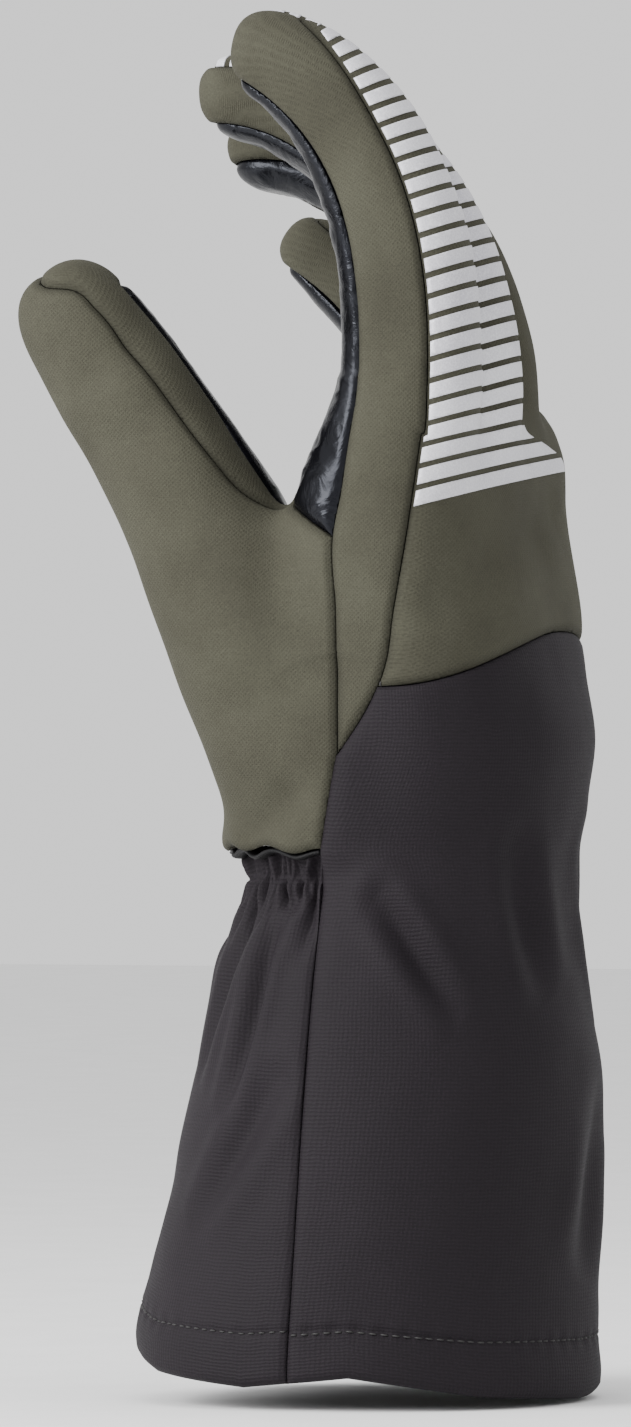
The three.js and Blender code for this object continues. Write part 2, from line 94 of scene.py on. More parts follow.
# Sewn edges: depth and width of the valley, and the clearance between two panels
VALLEY_DEPTH = 0.75
VALLEY_WIDTH = 0.9
SHOULDER_DEPTH = 0.35
SHOULDER_WIDTH = 3.2
EDGE_GAP = 0.12

# Cuff sections: share of the cuff, then how far depth, width and setback have gone to the wrist
CUFF_ROWS = [
    (0, 0.03, 0.03, 0), (0.04, 0, 0, 0), (0.1, 0.05, 0.02, 0.02), (0.17, 0.12, 0.07, 0.1),
    (0.36, 0.26, 0.2, 0.38), (0.5, 0.35, 0.31, 0.55), (0.62, 0.49, 0.45, 0.7),
    (0.73, 0.68, 0.62, 0.74), (0.82, 0.8, 0.8, 0.75), (0.88, 0.9, 0.92, 0.85),
    (0.94, 1, 1, 1), (1, 0.9, 1, 0.86),
]
# Rim wave: half turns from the back of the hand, share of the rim's lift
RIM_ROWS = [(0, 0), (0.22, 0.15), (0.42, 0.5), (0.56, 0.32), (0.75, 0.5), (0.89, 0.85), (1, 1)]
# Hand sections: share of the palm, shares gone from heel to knuckles, squareness
HAND_ROWS = [
    (0, 0, 0, 0, 2.15), (0.12, 0.1, 0.1, 0.3, 2.2), (0.26, 0.26, 0.25, 0.68, 2.3),
    (0.44, 0.44, 0.55, 0.74, 2.4), (0.65, 0.62, 0.92, 0.8, 2.5), (0.84, 0.84, 0.95, 0.9, 2.6),
    (1, 1, 0.8, 1, 2.6),
]
# Web over the knuckles: share of its height, then of the knuckle depth and width
WEB_ROWS = [(0.5, 0.84, 0.95), (0.82, 0.64, 0.88), (1, 0.4, 0.78), (1.1, 0.08, 0.5)]
# Pad between thumb and first finger: share of the palm, setback and depth as shares of
# the knuckle depth, width as a share of the first finger's
PAD_ROWS = [
    (0.5, 0.2, 0.6, 0.7), (0.74, 0.24, 0.86, 0.96), (0.88, 0.32, 0.8, 1),
    (1, 0.41, 0.68, 0.98), (1.12, 0.52, 0.56, 0.9),
]
# Finger and thumb sections: share of the length, shares of the depth and the width
FINGER_ROWS = [
    (-0.16, 0.8, 0.84), (0.03, 0.98, 1), (0.28, 1, 1), (0.5, 0.94, 0.98), (0.7, 0.83, 0.95),
    (0.87, 0.71, 0.87), (1.1, 0.6, 0.74),
]
THUMB_ROWS = [
    (0, 0.92, 0.84), (0.14, 0.95, 0.95), (0.3, 0.92, 1), (0.43, 0.85, 0.95), (0.55, 0.77, 0.84),
    (0.7, 0.69, 0.74), (0.83, 0.63, 0.67), (0.92, 0.58, 0.6), (1.1, 0.5, 0.52),
]
# Fingers and thumb: root's X and Y, drop under the knuckles, length, depth, width, heading, curl,
# ease, splay
DIGIT_ROWS = {
    "index": (22.3, -35.5, 0, 103, 30, 24, -4, 80, 1.8, -4),
    "middle": (24.5, -11.5, 0, 109, 28, 24, -2, 97, 1.4, -1),
    "ring": (21.5, 12, 0, 99.5, 27, 23, 3, 101, 1.5, 2),
    "little": (15.5, 34, 4, 71.5, 24, 21, 28, 30, 1, 6),
    "thumb": (0.5, -22, 90, 142, 44, 42, 10, 25.5, 0.62, -8),
}
TIP_CAP = {"index": 13.0, "middle": 13.0, "ring": 12.0, "little": 11.0, "thumb": 17.0}
TIP_POWER = 2.7
DIGIT_POWER = 2.3

# Side strip: share of the palm, its two edges as shares of the reach past the side seam
STRIP_ROWS = [
    (0.235, 0, 0.02), (0.34, 0, 0.31), (0.42, 0, 0.49), (0.57, 0, 0.64), (0.75, 0, 0.8),
    (0.87, 0.1, 0.88),
]
# Side seam: height, share of its setback
SEAM_ROWS = [(0, 0), (CUFF, 0.47), (CUFF + 0.235 * PALM, 1), (400, 1)]
# Thumb panels: share of the thumb, two angles from the side that faces the fingers
THUMB_PALM_ROWS = [
    (0.5, -95, 2), (0.6, -95, -4), (0.72, -95, -8), (0.82, -95, -10), (0.92, -95, -12),
]
THUMB_STRIP_ROWS = [
    (0.49, -8, 8), (0.54, -14, 26), (0.62, -14, 38), (0.72, -14, 43), (0.82, -14, 46),
    (0.9, -14, 49), (0.95, -14, 58), (0.98, -14, 85), (1.2, -14, 115),
]
THUMB_TIP_ROWS = [(0.915, -100, 20), (0.97, -100, 20), (1.2, -100, 20)]
WEDGE_REACH = 0.58
THUMB_ROOM_ROWS = [(0.3, 0.5), (0.55, 0.52), (0.7, 0.59), (1.05, 0.59)]
# Thumb panel's inner edge on the palm: share of the palm, share of half the knuckle width
THENAR_ROWS = [
    (-0.2, -0.08), (0.28, -0.08), (0.45, -0.14), (0.6, -0.26), (0.74, -0.42), (0.92, -0.6),
]
# Fork of the strips: share of the palm at the side seam and on the pad, reach as a share of
# the knuckle depth
FORK = (0.75, 0.89, 0.65)

# Striped film: height of its lowest gap at the seam, spacing, gap width, margin, slope, rise,
# the side of its seam, and how far past the middle finger it goes, also where it widens
STRIPE_START = 198.9
STRIPE_PITCH = 4.72
STRIPE_TIGHTEN = 0.0205
STRIPE_COUNT = 30
STRIPE_GAP = 1.3
STRIPE_MARGIN = 0.55
STRIPE_SLOPE = 0.29
FILM_RISE = 0.22
FILM_SIDE = -20.0
FILM_REACH = 14.0
FILM_WIDER = 28.0
FILM_WIDENS = (8, -3)
FILM_WELD = 0.06
# Share of the middle finger from which the stripes follow that finger's own length
TIP_START = 0.62
TIP_BLEND = 0.06

# Welt: a flattened cord that waves a little round the wrist, and the room at its panels
WRIST_RADIUS = 42.0
WELT_WAVE = 0.75
WELT_WAVE_LENGTH = 14.5
WELT_WAVE_SIDE = (-6, -26)
WELT_LEVEL = CUFF - 0.7
WELT_SETBACK = 7.6
WELT_DEPTH = HEEL[0] / 2 - 1.7
WELT_WIDTH = WRIST[1] / 2 - 0.3
WELT_FLAT = 2.6
WELT_SINK = 1.3
WELT_STEPS = 150
WELT_SIDES = 12
PANEL_ROOM = 0.45

# Hand surface: box and voxel that sample it, and the columns of its table after the points and
# their directions: run along the fingers, height above the welt, then a field for each panel
HAND_BOX = ((-70.0, -60.0, CUFF - 3), (54.0, 58.0, 312.0))
VOXEL = 0.8
RUN_COLUMN = 6
WELT_COLUMN = 7
FIRST_FIELD = 8
RUN_REACH = 5.0
RUN_BLEND = (KNUCKLE_HEIGHT - 22, KNUCKLE_HEIGHT - 2)
PANEL_WELD = 0.12
LEATHER_RELIEF = {"palm": 0.7, "thumb_palm": 0.3}
LEATHER_WARP = 2.5
LEATHER_EDGE = 3.0

# Camera of the photograph: its directions, the point that it looks at, distance and width seen
VIEW_AZIMUTH = math.radians(20.0)
VIEW_RIGHT = np.array([math.cos(VIEW_AZIMUTH), math.sin(VIEW_AZIMUTH), 0])
VIEW_FORWARD = np.array([-math.sin(VIEW_AZIMUTH), math.cos(VIEW_AZIMUTH), 0])
VIEW_SHIFT = -11.8
VIEW_HEIGHT = 150.3
VIEW_DISTANCE = 2500.0
VIEW_SPAN = 314.65
SENSOR = 36.0
SIGHT_LINE = (-95, 60, 0.5)

# Soft dents of the olive cloth on the photographed side: both ends as across and height in
# the photo's view, reach and depth
DENTS = [
    ((-59.0, 226.0), (-52.0, 231.0), 5.5, 1.1), ((-60.0, 208.0), (-50.0, 211.0), 6.5, 1.4),
    ((-27.0, 122.5), (-17.5, 132.0), 4.2, 1.7), ((-44.0, 176.0), (-34.0, 186.0), 7.0, 0.9),
    ((-31.0, 150.0), (-20.0, 158.0), 6.5, 0.9), ((16.0, 174.0), (27.0, 183.0), 5.5, 1.0),
    ((27.0, 183.0), (41.0, 195.0), 6.0, 1.1), ((-5.0, 176.0), (-3.0, 196.0), 4.5, 0.6),
    ((-40.0, 196.0), (-30.0, 200.0), 7.0, 0.7), ((3.0, 250.0), (9.0, 232.0), 5.0, 0.6),
]

# Gathers under the welt, from the end of the pleats up to the ruffle over them
PLEAT_COUNT = 44
PLEAT_SEED = 5
PLEAT_DEPTH = 3.4
PLEAT_WIDTH = 1.15
RUFFLE_DEPTH = 3.0
GATHER_TOP = 119.0
GATHER_LINE = 113.8
GATHER_END = 99.0
# Random ranges of a pleat: shift, shares of depth and width, lower end, lean, phase of its wave
PLEAT_RANGES = ((-0.3, 0.3), (0.45, 1.1), (0.7, 1.4), (-12, 9), (-0.12, 0.12), (0, 6))
# Soft folds of the cuff: place round the panel and height of both ends, width and depth
FOLD_DEPTH = 2.6
PALM_FOLDS = [
    (0.1, 108, 0.16, 62, 3.0, 0.9), (0.2, 106, 0.3, 70, 3.4, 0.8), (0.05, 70, 0.2, 36, 4.0, 0.7),
    (0.42, 104, 0.5, 66, 4.0, 0.9), (0.62, 106, 0.58, 60, 4.0, 0.9), (0.8, 104, 0.7, 72, 3.6, 0.8),
    (0.92, 100, 0.88, 60, 3.6, 0.8),
]
BACK_FOLDS = [
    (0.94, 112, 0.82, 92, 3.0, 0.7), (0.9, 104, 0.72, 84, 3.2, 0.6), (0.95, 96, 0.8, 66, 3.6, 0.6),
    (0.6, 118, 0.66, 84, 5.0, 0.8), (0.35, 120, 0.42, 88, 5.0, 0.8), (0.1, 110, 0.24, 84, 3.4, 0.8),
    (0.55, 60, 0.5, 26, 6.0, 0.7), (0.8, 50, 0.86, 22, 5.0, 0.6),
]
# Cuff grids: columns, lines, length round the panel, folds
FINE = 1
CUFF_GRIDS = {
    "cuff_palm": (300 // FINE, 120 // FINE, 150.0, PALM_FOLDS),
    "cuff_back": (210 // FINE, 190 // FINE, 165.0, BACK_FOLDS),
}
CLOTH_RADIUS = 48.0
HAND_BLEND = 6.0
RIM_ROLL = 1.1
RIM_ROLL_HEIGHT = 2.2

# Threads: spacing, length, radius, then rise and share of the radius along each
STITCH_PITCH = 2.5
STITCH_LENGTH = 1.7
STITCH_RADIUS = 0.24
STITCH_SIDES = 6
STITCH_RISE = (-0.22, 0.1, 0.2, 0.1, -0.22)
STITCH_TAPER = (0.55, 0.95, 1, 0.95, 0.55)
STITCHED_ANGLE = 22

# Studio, in metres: each light's place toward the camera, to its right and up from the middle
# of the glove, then its size and power
LIGHT_HEIGHT = 0.15
LIGHTS = {
    "key": (0.6, -1.0, 0.5, (0.7, 0.9), 32), "fill": (1.1, 0.5, 0.1, (0.6, 1.0), 3),
    "top": (0.2, 0, 1.1, (0.9, 0.6), 4),
}
ROOM_LIGHT = 1.1
FLOOR_SIZE = 4.0
FLOOR_LEVEL = -0.0006
FLOOR_DARK = (236, 236, 236)
FLOOR_LIGHT = (241, 241, 241)


def read(table, share, column):
    """Smooth reading of a table whose first column rises"""
    rows = np.asarray(table, float)
    x, y = rows[:, 0], rows[:, column]
    slope = np.gradient(y, x)
    i = np.clip(np.searchsorted(x, share, side="right") - 1, 0, len(x) - 2)
    span = x[i + 1] - x[i]
    t = np.clip((share - x[i]) / span, 0, 1)
    low = (2 * t**3 - 3 * t**2 + 1) * y[i] + (t**3 - 2 * t**2 + t) * span * slope[i]
    high = (3 * t**2 - 2 * t**3) * y[i + 1] + (t**3 - t**2) * span * slope[i + 1]
    return low + high


def mix(a, b, share):
    return a + (b - a) * share


def smoothstep(low, high, value):
    t = np.clip((value - low) / (high - low), 0, 1)
    return t * t * (3 - 2 * t)


def soft_min(a, b, reach):
    """Smaller of two distances, with the join between them rounded"""
    h = np.clip(0.5 + 0.5 * (b - a) / reach, 0, 1)
    return mix(b, a, h) - reach * h * (1 - h)


def value_noise(points, size, seed=0):
    """Smooth noise from -1 to 1 with lumps of the given size"""
    q = np.asarray(points, float) / size + 37.3 * (seed + 1)
    cell = np.floor(q).astype(np.int64)
    t = q - cell
    t = t * t * (3 - 2 * t)
    total = np.zeros(len(q))
    for corner in range(8):
        pick = np.array([(corner >> k) & 1 for k in range(3)])
        c = cell + pick
        code = (c[:, 0] * 73856093) ^ (c[:, 1] * 19349663) ^ (c[:, 2] * 83492791) ^ (seed * 2654435)
        code = (code * 1103515245 + 12345) & 0x7FFFFFFF
        code = ((code ^ (code >> 13)) * 1274126177) & 0x7FFFFFFF
        weight = np.prod(np.where(pick, t, 1 - t), axis=1)
        total += weight * (code / 0x3FFFFFFF - 1)
    return total


def cuff_rows():
    """Sections of the cuff: height, half depth, half width, setback, squareness"""
    return [(share * CUFF, mix(RIM[0], WRIST[0], depth) / 2, mix(RIM[1], WRIST[1], width) / 2,
             mix(RIM[2], WRIST[2], setback), CUFF_POWER) for share, depth, width, setback in CUFF_ROWS]


def trunk_rows():
    """Sections of the cuff, the hand and the web, with the same columns"""
    rows = cuff_rows()[:-1]
    for share, depth, width, setback, power in HAND_ROWS:
        rows.append((CUFF + share * PALM, mix(HEEL[0], KNUCKLE[0], depth) / 2,
                     mix(HEEL[1], KNUCKLE[1], width) / 2, mix(HEEL[2], KNUCKLE[2], setback), power))
    top = rows[-1]
    for share, depth, width in WEB_ROWS:
        rows.append((KNUCKLE_HEIGHT + share * WEB, top[1] * depth, top[2] * width, top[3], top[4]))
    return rows


TRUNK_ROWS = trunk_rows()


def radial(x, y, half_x, half_y, power):
    """Distance to a superellipse, measured toward its centre"""
    r = np.hypot(x, y) + TINY
    u = ((np.abs(x) / half_x) ** power + (np.abs(y) / half_y) ** power) ** (1 / power) + TINY
    return r - r / u


def trunk(points):
    """Distance to the hand without its fingers, and to the cuff"""
    x, y, z = points.T
    lean = KNUCKLE_SLOPE * np.clip((z - CUFF) / PALM, 0, 1) ** 2
    height = z + lean * y / KNUCKLE[1]
    half_x, half_y, setback, power = (read(TRUNK_ROWS, height, k) for k in (1, 2, 3, 4))
    side = radial(x - setback, y, half_x, half_y, power)
    return np.maximum(side, height - KNUCKLE_HEIGHT - 1.1 * WEB)


def thumb_pad(points):
    """Distance to the pad between the thumb and the first finger"""
    x, y, z = points.T
    share = (z - CUFF) / PALM
    half_x = KNUCKLE[0] * read(PAD_ROWS, share, 2) / 2
    half_y = DIGITS["index"].width * read(PAD_ROWS, share, 3) / 2
    setback = KNUCKLE[0] * read(PAD_ROWS, share, 1)
    side = radial(x - setback, y - DIGITS["index"].root[1], half_x, half_y, DIGIT_POWER)
    ends = np.maximum(PAD_ROWS[0][0] - share, share - PAD_ROWS[-1][0]) * PALM
    return np.maximum(side, ends)


class Digit:
    """A finger or the thumb: a curled centre line with a section along it"""

    def __init__(self, name, rows):
        x, y, drop, self.length, self.depth, self.width, start, curl, ease, splay = DIGIT_ROWS[name]
        self.rows = rows
        self.cap = TIP_CAP[name]
        self.root = np.array([x, y, KNUCKLE_HEIGHT - drop])
        turn = -math.radians(splay)
        c, s = math.cos(turn), math.sin(turn)
        self.turn = np.array([[1, 0, 0], [0, c, -s], [0, s, c]])
        self.run = np.linspace(-0.3 * self.length, 1.25 * self.length, 500)
        share = np.clip(self.run / self.length, 0, 1)
        self.heading = np.radians(start + curl * share**ease)
        self.bend = np.gradient(self.heading, self.run)
        step = self.run[1] - self.run[0]
        across, up = -np.sin(self.heading), np.cos(self.heading)
        self.line_x = np.concatenate([[0], np.cumsum((across[1:] + across[:-1]) / 2 * step)])
        self.line_z = np.concatenate([[0], np.cumsum((up[1:] + up[:-1]) / 2 * step)])
        self.line_x -= np.interp(0, self.run, self.line_x)
        self.line_z -= np.interp(0, self.run, self.line_z)

    def locate(self, points):
        """Run along the centre line, then how far out through the back and to the +Y side"""
        local = (points - self.root) @ self.turn
        near = np.full(len(points), 1e9)
        run = np.zeros(len(points))
        for i in range(6, len(self.run), 13):
            gap = (local[:, 0] - self.line_x[i]) ** 2 + (local[:, 2] - self.line_z[i]) ** 2
            closer = gap < near
            near[closer] = gap[closer]
            run[closer] = self.run[i]
        for _ in range(3):
            along, out = self.offset(local, run)
            ease = np.clip(1 + np.interp(run, self.run, self.bend) * out, 0.4, 2.5)
            run = np.clip(run + along / ease, self.run[0], self.run[-1])
        return run, self.offset(local, run)[1], local[:, 1]

    def offset(self, local, run):
        """How far points lie along and out from the centre line at the given runs"""
        dx = local[:, 0] - np.interp(run, self.run, self.line_x)
        dz = local[:, 2] - np.interp(run, self.run, self.line_z)
        h = np.interp(run, self.run, self.heading)
        return -np.sin(h) * dx + np.cos(h) * dz, np.cos(h) * dx + np.sin(h) * dz

    def distance(self, points):
        """Distance to the digit's surface, or FAR where it is well away"""
        result = np.full(len(points), FAR)
        reach = max(self.depth, self.width) / 2 + 14
        keep = (self.run > -0.2 * self.length) & (self.run <= self.length)
        line = np.stack([self.line_x[keep], 0 * self.line_x[keep], self.line_z[keep]], 1)
        line = line @ self.turn.T + self.root
        near = np.all((points > line.min(0) - reach) & (points < line.max(0) + reach), axis=1)
        run, out, side = self.locate(points[near])
        share = run / self.length
        half_x = self.depth * read(self.rows, share, 1) / 2
        half_y = self.width * read(self.rows, share, 2) / 2
        start = self.length - self.cap
        past = np.clip(run - start, 0, None)
        r = np.sqrt(out**2 + side**2 + past**2) + TINY
        flat = (np.abs(out) / half_x) ** DIGIT_POWER + (np.abs(side) / half_y) ** DIGIT_POWER
        u = (flat ** (TIP_POWER / DIGIT_POWER) + (past / self.cap) ** TIP_POWER) ** (1 / TIP_POWER) + TINY
        body = r - r / u
        result[near] = np.maximum(body, -run - 0.17 * self.length)
        return result

    def point(self, run, out, side):
        """Place in the frame of a run, a distance through the back and one to the +Y side"""
        x = np.interp(run, self.run, self.line_x)
        z = np.interp(run, self.run, self.line_z)
        h = np.interp(run, self.run, self.heading)
        local = np.stack([x + np.cos(h) * out, side + 0 * x, z + np.sin(h) * out], -1)
        return local @ self.turn.T + self.root


DIGITS = {name: Digit(name, THUMB_ROWS if name == "thumb" else FINGER_ROWS) for name in DIGIT_ROWS}
FINGERS = ("index", "middle", "ring", "little")


def glove(points):
    """Distance to the outer surface of the whole glove"""
    body = soft_min(trunk(points), thumb_pad(points), PAD_BLEND)
    body = soft_min(body, DIGITS["thumb"].distance(points), THUMB_BLEND)
    forms = [soft_min(body, DIGITS[name].distance(points), FINGER_BLEND) for name in FINGERS]
    return np.minimum.reduce(forms)


def slope_of(points, reach=0.3):
    """Value and unit slope of the glove's distance, from four samples round each point"""
    corners = np.array([[1, 1, 1], [1, -1, -1], [-1, 1, -1], [-1, -1, 1]]) * reach
    values = np.stack([glove(points + c) for c in corners])
    slope = values.T @ corners / (4 * reach**2)
    size = np.linalg.norm(slope, axis=1) + TINY
    return values.mean(0), slope / size[:, None], size


def settle(points, rounds=2):
    """Moves points onto the glove's surface; returns them with their outward directions"""
    for _ in range(rounds):
        value, normal, size = slope_of(points)
        points = points - normal * np.clip(value / size, -2, 2)[:, None]
    return points, slope_of(points)[1]


def surface_net(low, high, step):
    """Quads round the glove's surface inside a box: points and faces"""
    axes = [np.arange(low[k], high[k], step) for k in range(3)]
    grid = np.stack(np.meshgrid(*axes, indexing="ij"), -1)
    shape = grid.shape[:3]
    field = glove(grid.reshape(-1, 3)).reshape(shape)
    corner = [(i, j, k) for i in (0, 1) for j in (0, 1) for k in (0, 1)]
    cells = tuple(n - 1 for n in shape)

    def shifted(values, c):
        return values[c[0]:c[0] + cells[0], c[1]:c[1] + cells[1], c[2]:c[2] + cells[2]]

    count = sum(shifted(field < 0, c).astype(np.int8) for c in corner)
    mixed = (count > 0) & (count < 8)
    where = np.argwhere(mixed)
    ids = np.full(cells, -1)
    ids[mixed] = np.arange(len(where))
    values = np.stack([field[tuple((where + c).T)] for c in corner], 1)
    total = np.zeros((len(where), 3))
    crossings = np.zeros(len(where))
    for a in range(8):
        for b in range(a + 1, 8):
            if sum(abs(corner[a][k] - corner[b][k]) for k in range(3)) != 1:
                continue
            cut = (values[:, a] < 0) != (values[:, b] < 0)
            t = values[cut, a] / (values[cut, a] - values[cut, b])
            total[cut] += mix(np.array(corner[a], float), np.array(corner[b], float), t[:, None])
            crossings[cut] += 1
    points = np.array(low) + (where + total / crossings[:, None]) * step
    quads = []
    one = np.eye(3, dtype=int)
    for k in range(3):
        u, v = (k + 1) % 3, (k + 2) % 3
        here = field[tuple(slice(1, n - 1) for n in shape)]
        ahead = field[tuple(slice(1 + one[k][a], shape[a] - 1 + one[k][a]) for a in range(3))]
        at = np.argwhere((here < 0) != (ahead < 0)) + 1
        at = at[at[:, k] < cells[k]]
        ring = [ids[tuple((at - du * one[u] - dv * one[v]).T)]
                for du, dv in ((0, 0), (1, 0), (1, 1), (0, 1))]
        quad = np.stack(ring, 1)
        flip = field[tuple(at.T)] < 0
        quad[flip] = quad[flip][:, ::-1]
        quads.append(quad[(quad >= 0).all(1)])
    quads = np.concatenate(quads)[:, ::-1]
    faces = np.concatenate([quads[:, [0, 1, 2]], quads[:, [0, 2, 3]]])
    return points, faces


def seam_setback(z):
    return SEAM_SETBACK * np.interp(z, *np.array(SEAM_ROWS).T)


def arch_line(y):
    """Height of the seam between the back panel and the cuff"""
    fall = ((y - ARCH_CENTRE) / (KNUCKLE[1] / 2)) ** 2
    return CUFF + ARCH_HEIGHT + ARCH_RISE * (1 - fall)


def finger_strip(points, name, sign, width):
    """Positive inside the strip along one side of a finger"""
    digit = DIGITS[name]
    run, out, side = digit.locate(points)
    shift = STRIP_SETBACK * (1 - np.clip(run / digit.length, 0, 1))
    room = STRIP_ROOM * digit.width - np.abs(side)
    tip = smoothstep(*STRIP_TIP, run / digit.length)
    raised, turned, root = STRIP_TURN.get((name, sign), (0, 0, STRIP_ROOT))
    middle = out + shift - turned
    reach = width / 2 + np.where(middle > 0, raised * tip, 0)
    return np.minimum.reduce([reach - np.abs(middle), run + root, sign * side, room])


def side_strip(points, name, sign, shift):
    """Positive inside the lower end of a side strip, which narrows to a point"""
    digit = DIGITS[name]
    x, y, z = points.T
    share = (z - CUFF) / PALM
    point = STRIP_ROWS[0][0]
    base = SEAM_SETBACK - shift * (share - point)
    ends = [digit.point(STRIP_JOIN, s * OUTER_STRIP / 2 - STRIP_SETBACK, 0) for s in (-1, 1)]
    top = (ends[0][2] + ends[1][2]) / 2
    top_share = (top - CUFF) / PALM
    top_base = SEAM_SETBACK - shift * (top_share - point)
    last = (top_share, (ends[0][0] - top_base) / STRIP_REACH, (ends[1][0] - top_base) / STRIP_REACH)
    rows = STRIP_ROWS + [last]
    low = base + STRIP_REACH * read(rows, share, 1)
    high = base + STRIP_REACH * read(rows, share, 2)
    ends_z = np.minimum((share - point) * PALM, top - z)
    return np.minimum.reduce([x - low, high - x, ends_z, sign * y - SIDE_REACH])


def web_patch(points, near, after):
    """Positive inside the bottom of the strip between two fingers"""
    a, b = DIGITS[near], DIGITS[after]
    span = b.root[1] - a.root[1]
    q = (points[:, 1] - a.root[1]) / span
    run, out = (mix(one, two, q) for one, two in zip(a.locate(points)[:2], b.locate(points)[:2]))
    rows = [INNER_STRIP / 2 - np.abs(out + STRIP_SETBACK), run + STRIP_ROOT, WEB + STRIP_ROOT - run]
    return np.minimum.reduce(rows + [q * span, (1 - q) * span])


def thumb_wedge(points, rows):
    """Positive between two angles round the thumb, over a stretch of its length"""
    digit = DIGITS["thumb"]
    run, out, side = digit.locate(points)
    share = run / digit.length
    angle = np.degrees(np.arctan2(-side, out))
    r = np.hypot(out, side)
    low = np.radians(angle - read(rows, share, 1)) * r
    high = np.radians(read(rows, share, 2) - angle) * r
    ends = np.minimum(share - rows[0][0], rows[-1][0] - share) * digit.length
    return np.minimum.reduce([low, high, ends, WEDGE_REACH * digit.depth - r])


def back_of_cuff(points):
    x, y, z = points.T
    return np.minimum(x - seam_setback(z), arch_line(y) - z)


def thumb_side(points):
    """Positive on the thumb side of the palm below the fork, and round the thumb"""
    x, y, z = points.T
    digit = DIGITS["thumb"]
    fork, pad, reach = FORK
    top = np.interp(x, [SEAM_SETBACK - reach * KNUCKLE[0], SEAM_SETBACK],
                    [CUFF + pad * PALM, CUFF + fork * PALM])
    inner = read(THENAR_ROWS, (z - CUFF) / PALM, 1) * KNUCKLE[1] / 2
    base = np.minimum.reduce([seam_setback(z) - x, inner - y, top - z])
    run, out, side = digit.locate(points)
    room = digit.depth * np.interp(run / digit.length, *np.array(THUMB_ROOM_ROWS).T)
    past_root = run - 0.3 * digit.length
    round_thumb = np.minimum.reduce([room - np.abs(out), room - np.abs(side), past_root])
    return np.maximum(base, round_thumb)


def split(points, faces, column):
    """Cuts triangles where a column of the points passes zero: points, faces above, faces below"""
    level = points[:, column]
    level = np.where(np.abs(level) < TINY, TINY, level)
    up = level[faces] > 0
    count = up.sum(1)
    above, below = faces[count == 3], faces[count == 0]
    mixed = (count == 1) | (count == 2)
    tri, sign = faces[mixed], up[mixed]
    odd = np.where(count[mixed] == 1, sign.argmax(1), (~sign).argmax(1))
    order = (odd[:, None] + np.arange(3)) % 3
    tri = np.take_along_axis(tri, order, 1)
    edges = np.sort(np.concatenate([tri[:, [0, 1]], tri[:, [0, 2]]]), axis=1)
    pairs, back = np.unique(edges, axis=0, return_inverse=True)
    a, b = pairs.T
    t = level[a] / (level[a] - level[b])
    fresh = mix(points[a], points[b], t[:, None])
    first, second = back.ravel().reshape(2, -1) + len(points)
    tips = np.stack([tri[:, 0], first, second], 1)
    bases = np.concatenate([np.stack([first, tri[:, 1], tri[:, 2]], 1),
                            np.stack([first, tri[:, 2], second], 1)])
    tip_up = count[mixed] == 1
    base_up = np.concatenate([tip_up, tip_up])
    above = np.concatenate([above, tips[tip_up], bases[~base_up]])
    below = np.concatenate([below, tips[~tip_up], bases[base_up]])
    return np.concatenate([points, fresh]), above, below


def compact(points, faces):
    """Drops points that no face uses"""
    used, back = np.unique(faces, return_inverse=True)
    return points[used], back.reshape(faces.shape)


def weld(points, faces, reach):
    """Merges cut points that lie closer than a small reach"""
    key = np.round(points[:, :3] / reach).astype(np.int64)
    _, first, back = np.unique(key, axis=0, return_index=True, return_inverse=True)
    faces = first[back.ravel()][faces]
    keep = (faces[:, 0] != faces[:, 1]) & (faces[:, 1] != faces[:, 2]) & (faces[:, 2] != faces[:, 0])
    return points, faces[keep]


def islands(faces, count):
    """A label for each point, alike where faces join them"""
    label = np.arange(count)
    while True:
        low = label[faces].min(1)
        fresh = label.copy()
        np.minimum.at(fresh, faces.ravel(), np.repeat(low, 3))
        fresh = fresh[fresh]
        if np.array_equal(fresh, label):
            return label
        label = fresh


def without_crumbs(points, faces, least=60):
    """Drops small loose bits that a cut leaves"""
    label = islands(faces, len(points))[faces[:, 0]]
    names, sizes = np.unique(label, return_counts=True)
    return faces[np.isin(label, names[sizes >= least])]


def border(faces):
    """Directed edges that only one face has"""
    edges = np.concatenate([faces[:, [0, 1]], faces[:, [1, 2]], faces[:, [2, 0]]])
    key = np.sort(edges, axis=1)
    _, back, times = np.unique(key, axis=0, return_inverse=True, return_counts=True)
    return edges[times[back.ravel()] == 1]


def loops(edges):
    """Border edges as closed runs of point numbers"""
    after = {}
    for a, b in edges.tolist():
        after.setdefault(a, []).append(b)
    found = []
    while after:
        start = next(iter(after))
        run = [start]
        here = start
        while here in after:
            step = after[here].pop()
            if not after[here]:
                del after[here]
            run.append(step)
            here = step
        found.append(run)
    return found


def welt_line(x, y):
    """Height of the welt's middle, which waves a little round the wrist"""
    arc = WRIST_RADIUS * np.arctan2(y, x - HEEL[2])
    calm = smoothstep(*WELT_WAVE_SIDE, y) * smoothstep(SEAM_SETBACK, 0, x)
    return WELT_LEVEL + WELT_WAVE * np.sin(2 * np.pi * arc / WELT_WAVE_LENGTH) * calm


def along_fingers(points):
    """Height of each point, which follows the nearest finger above the knuckles"""
    run = points[:, 2].copy()
    nearest = np.full(len(points), FAR)
    for name in FINGERS:
        gap = DIGITS[name].distance(points)
        closer = gap < np.minimum(nearest, RUN_REACH)
        nearest[closer] = gap[closer]
        along = DIGITS[name].locate(points[closer])[0] + DIGITS[name].root[2]
        height = points[closer, 2]
        run[closer] = mix(height, along, smoothstep(*RUN_BLEND, height))
    return run


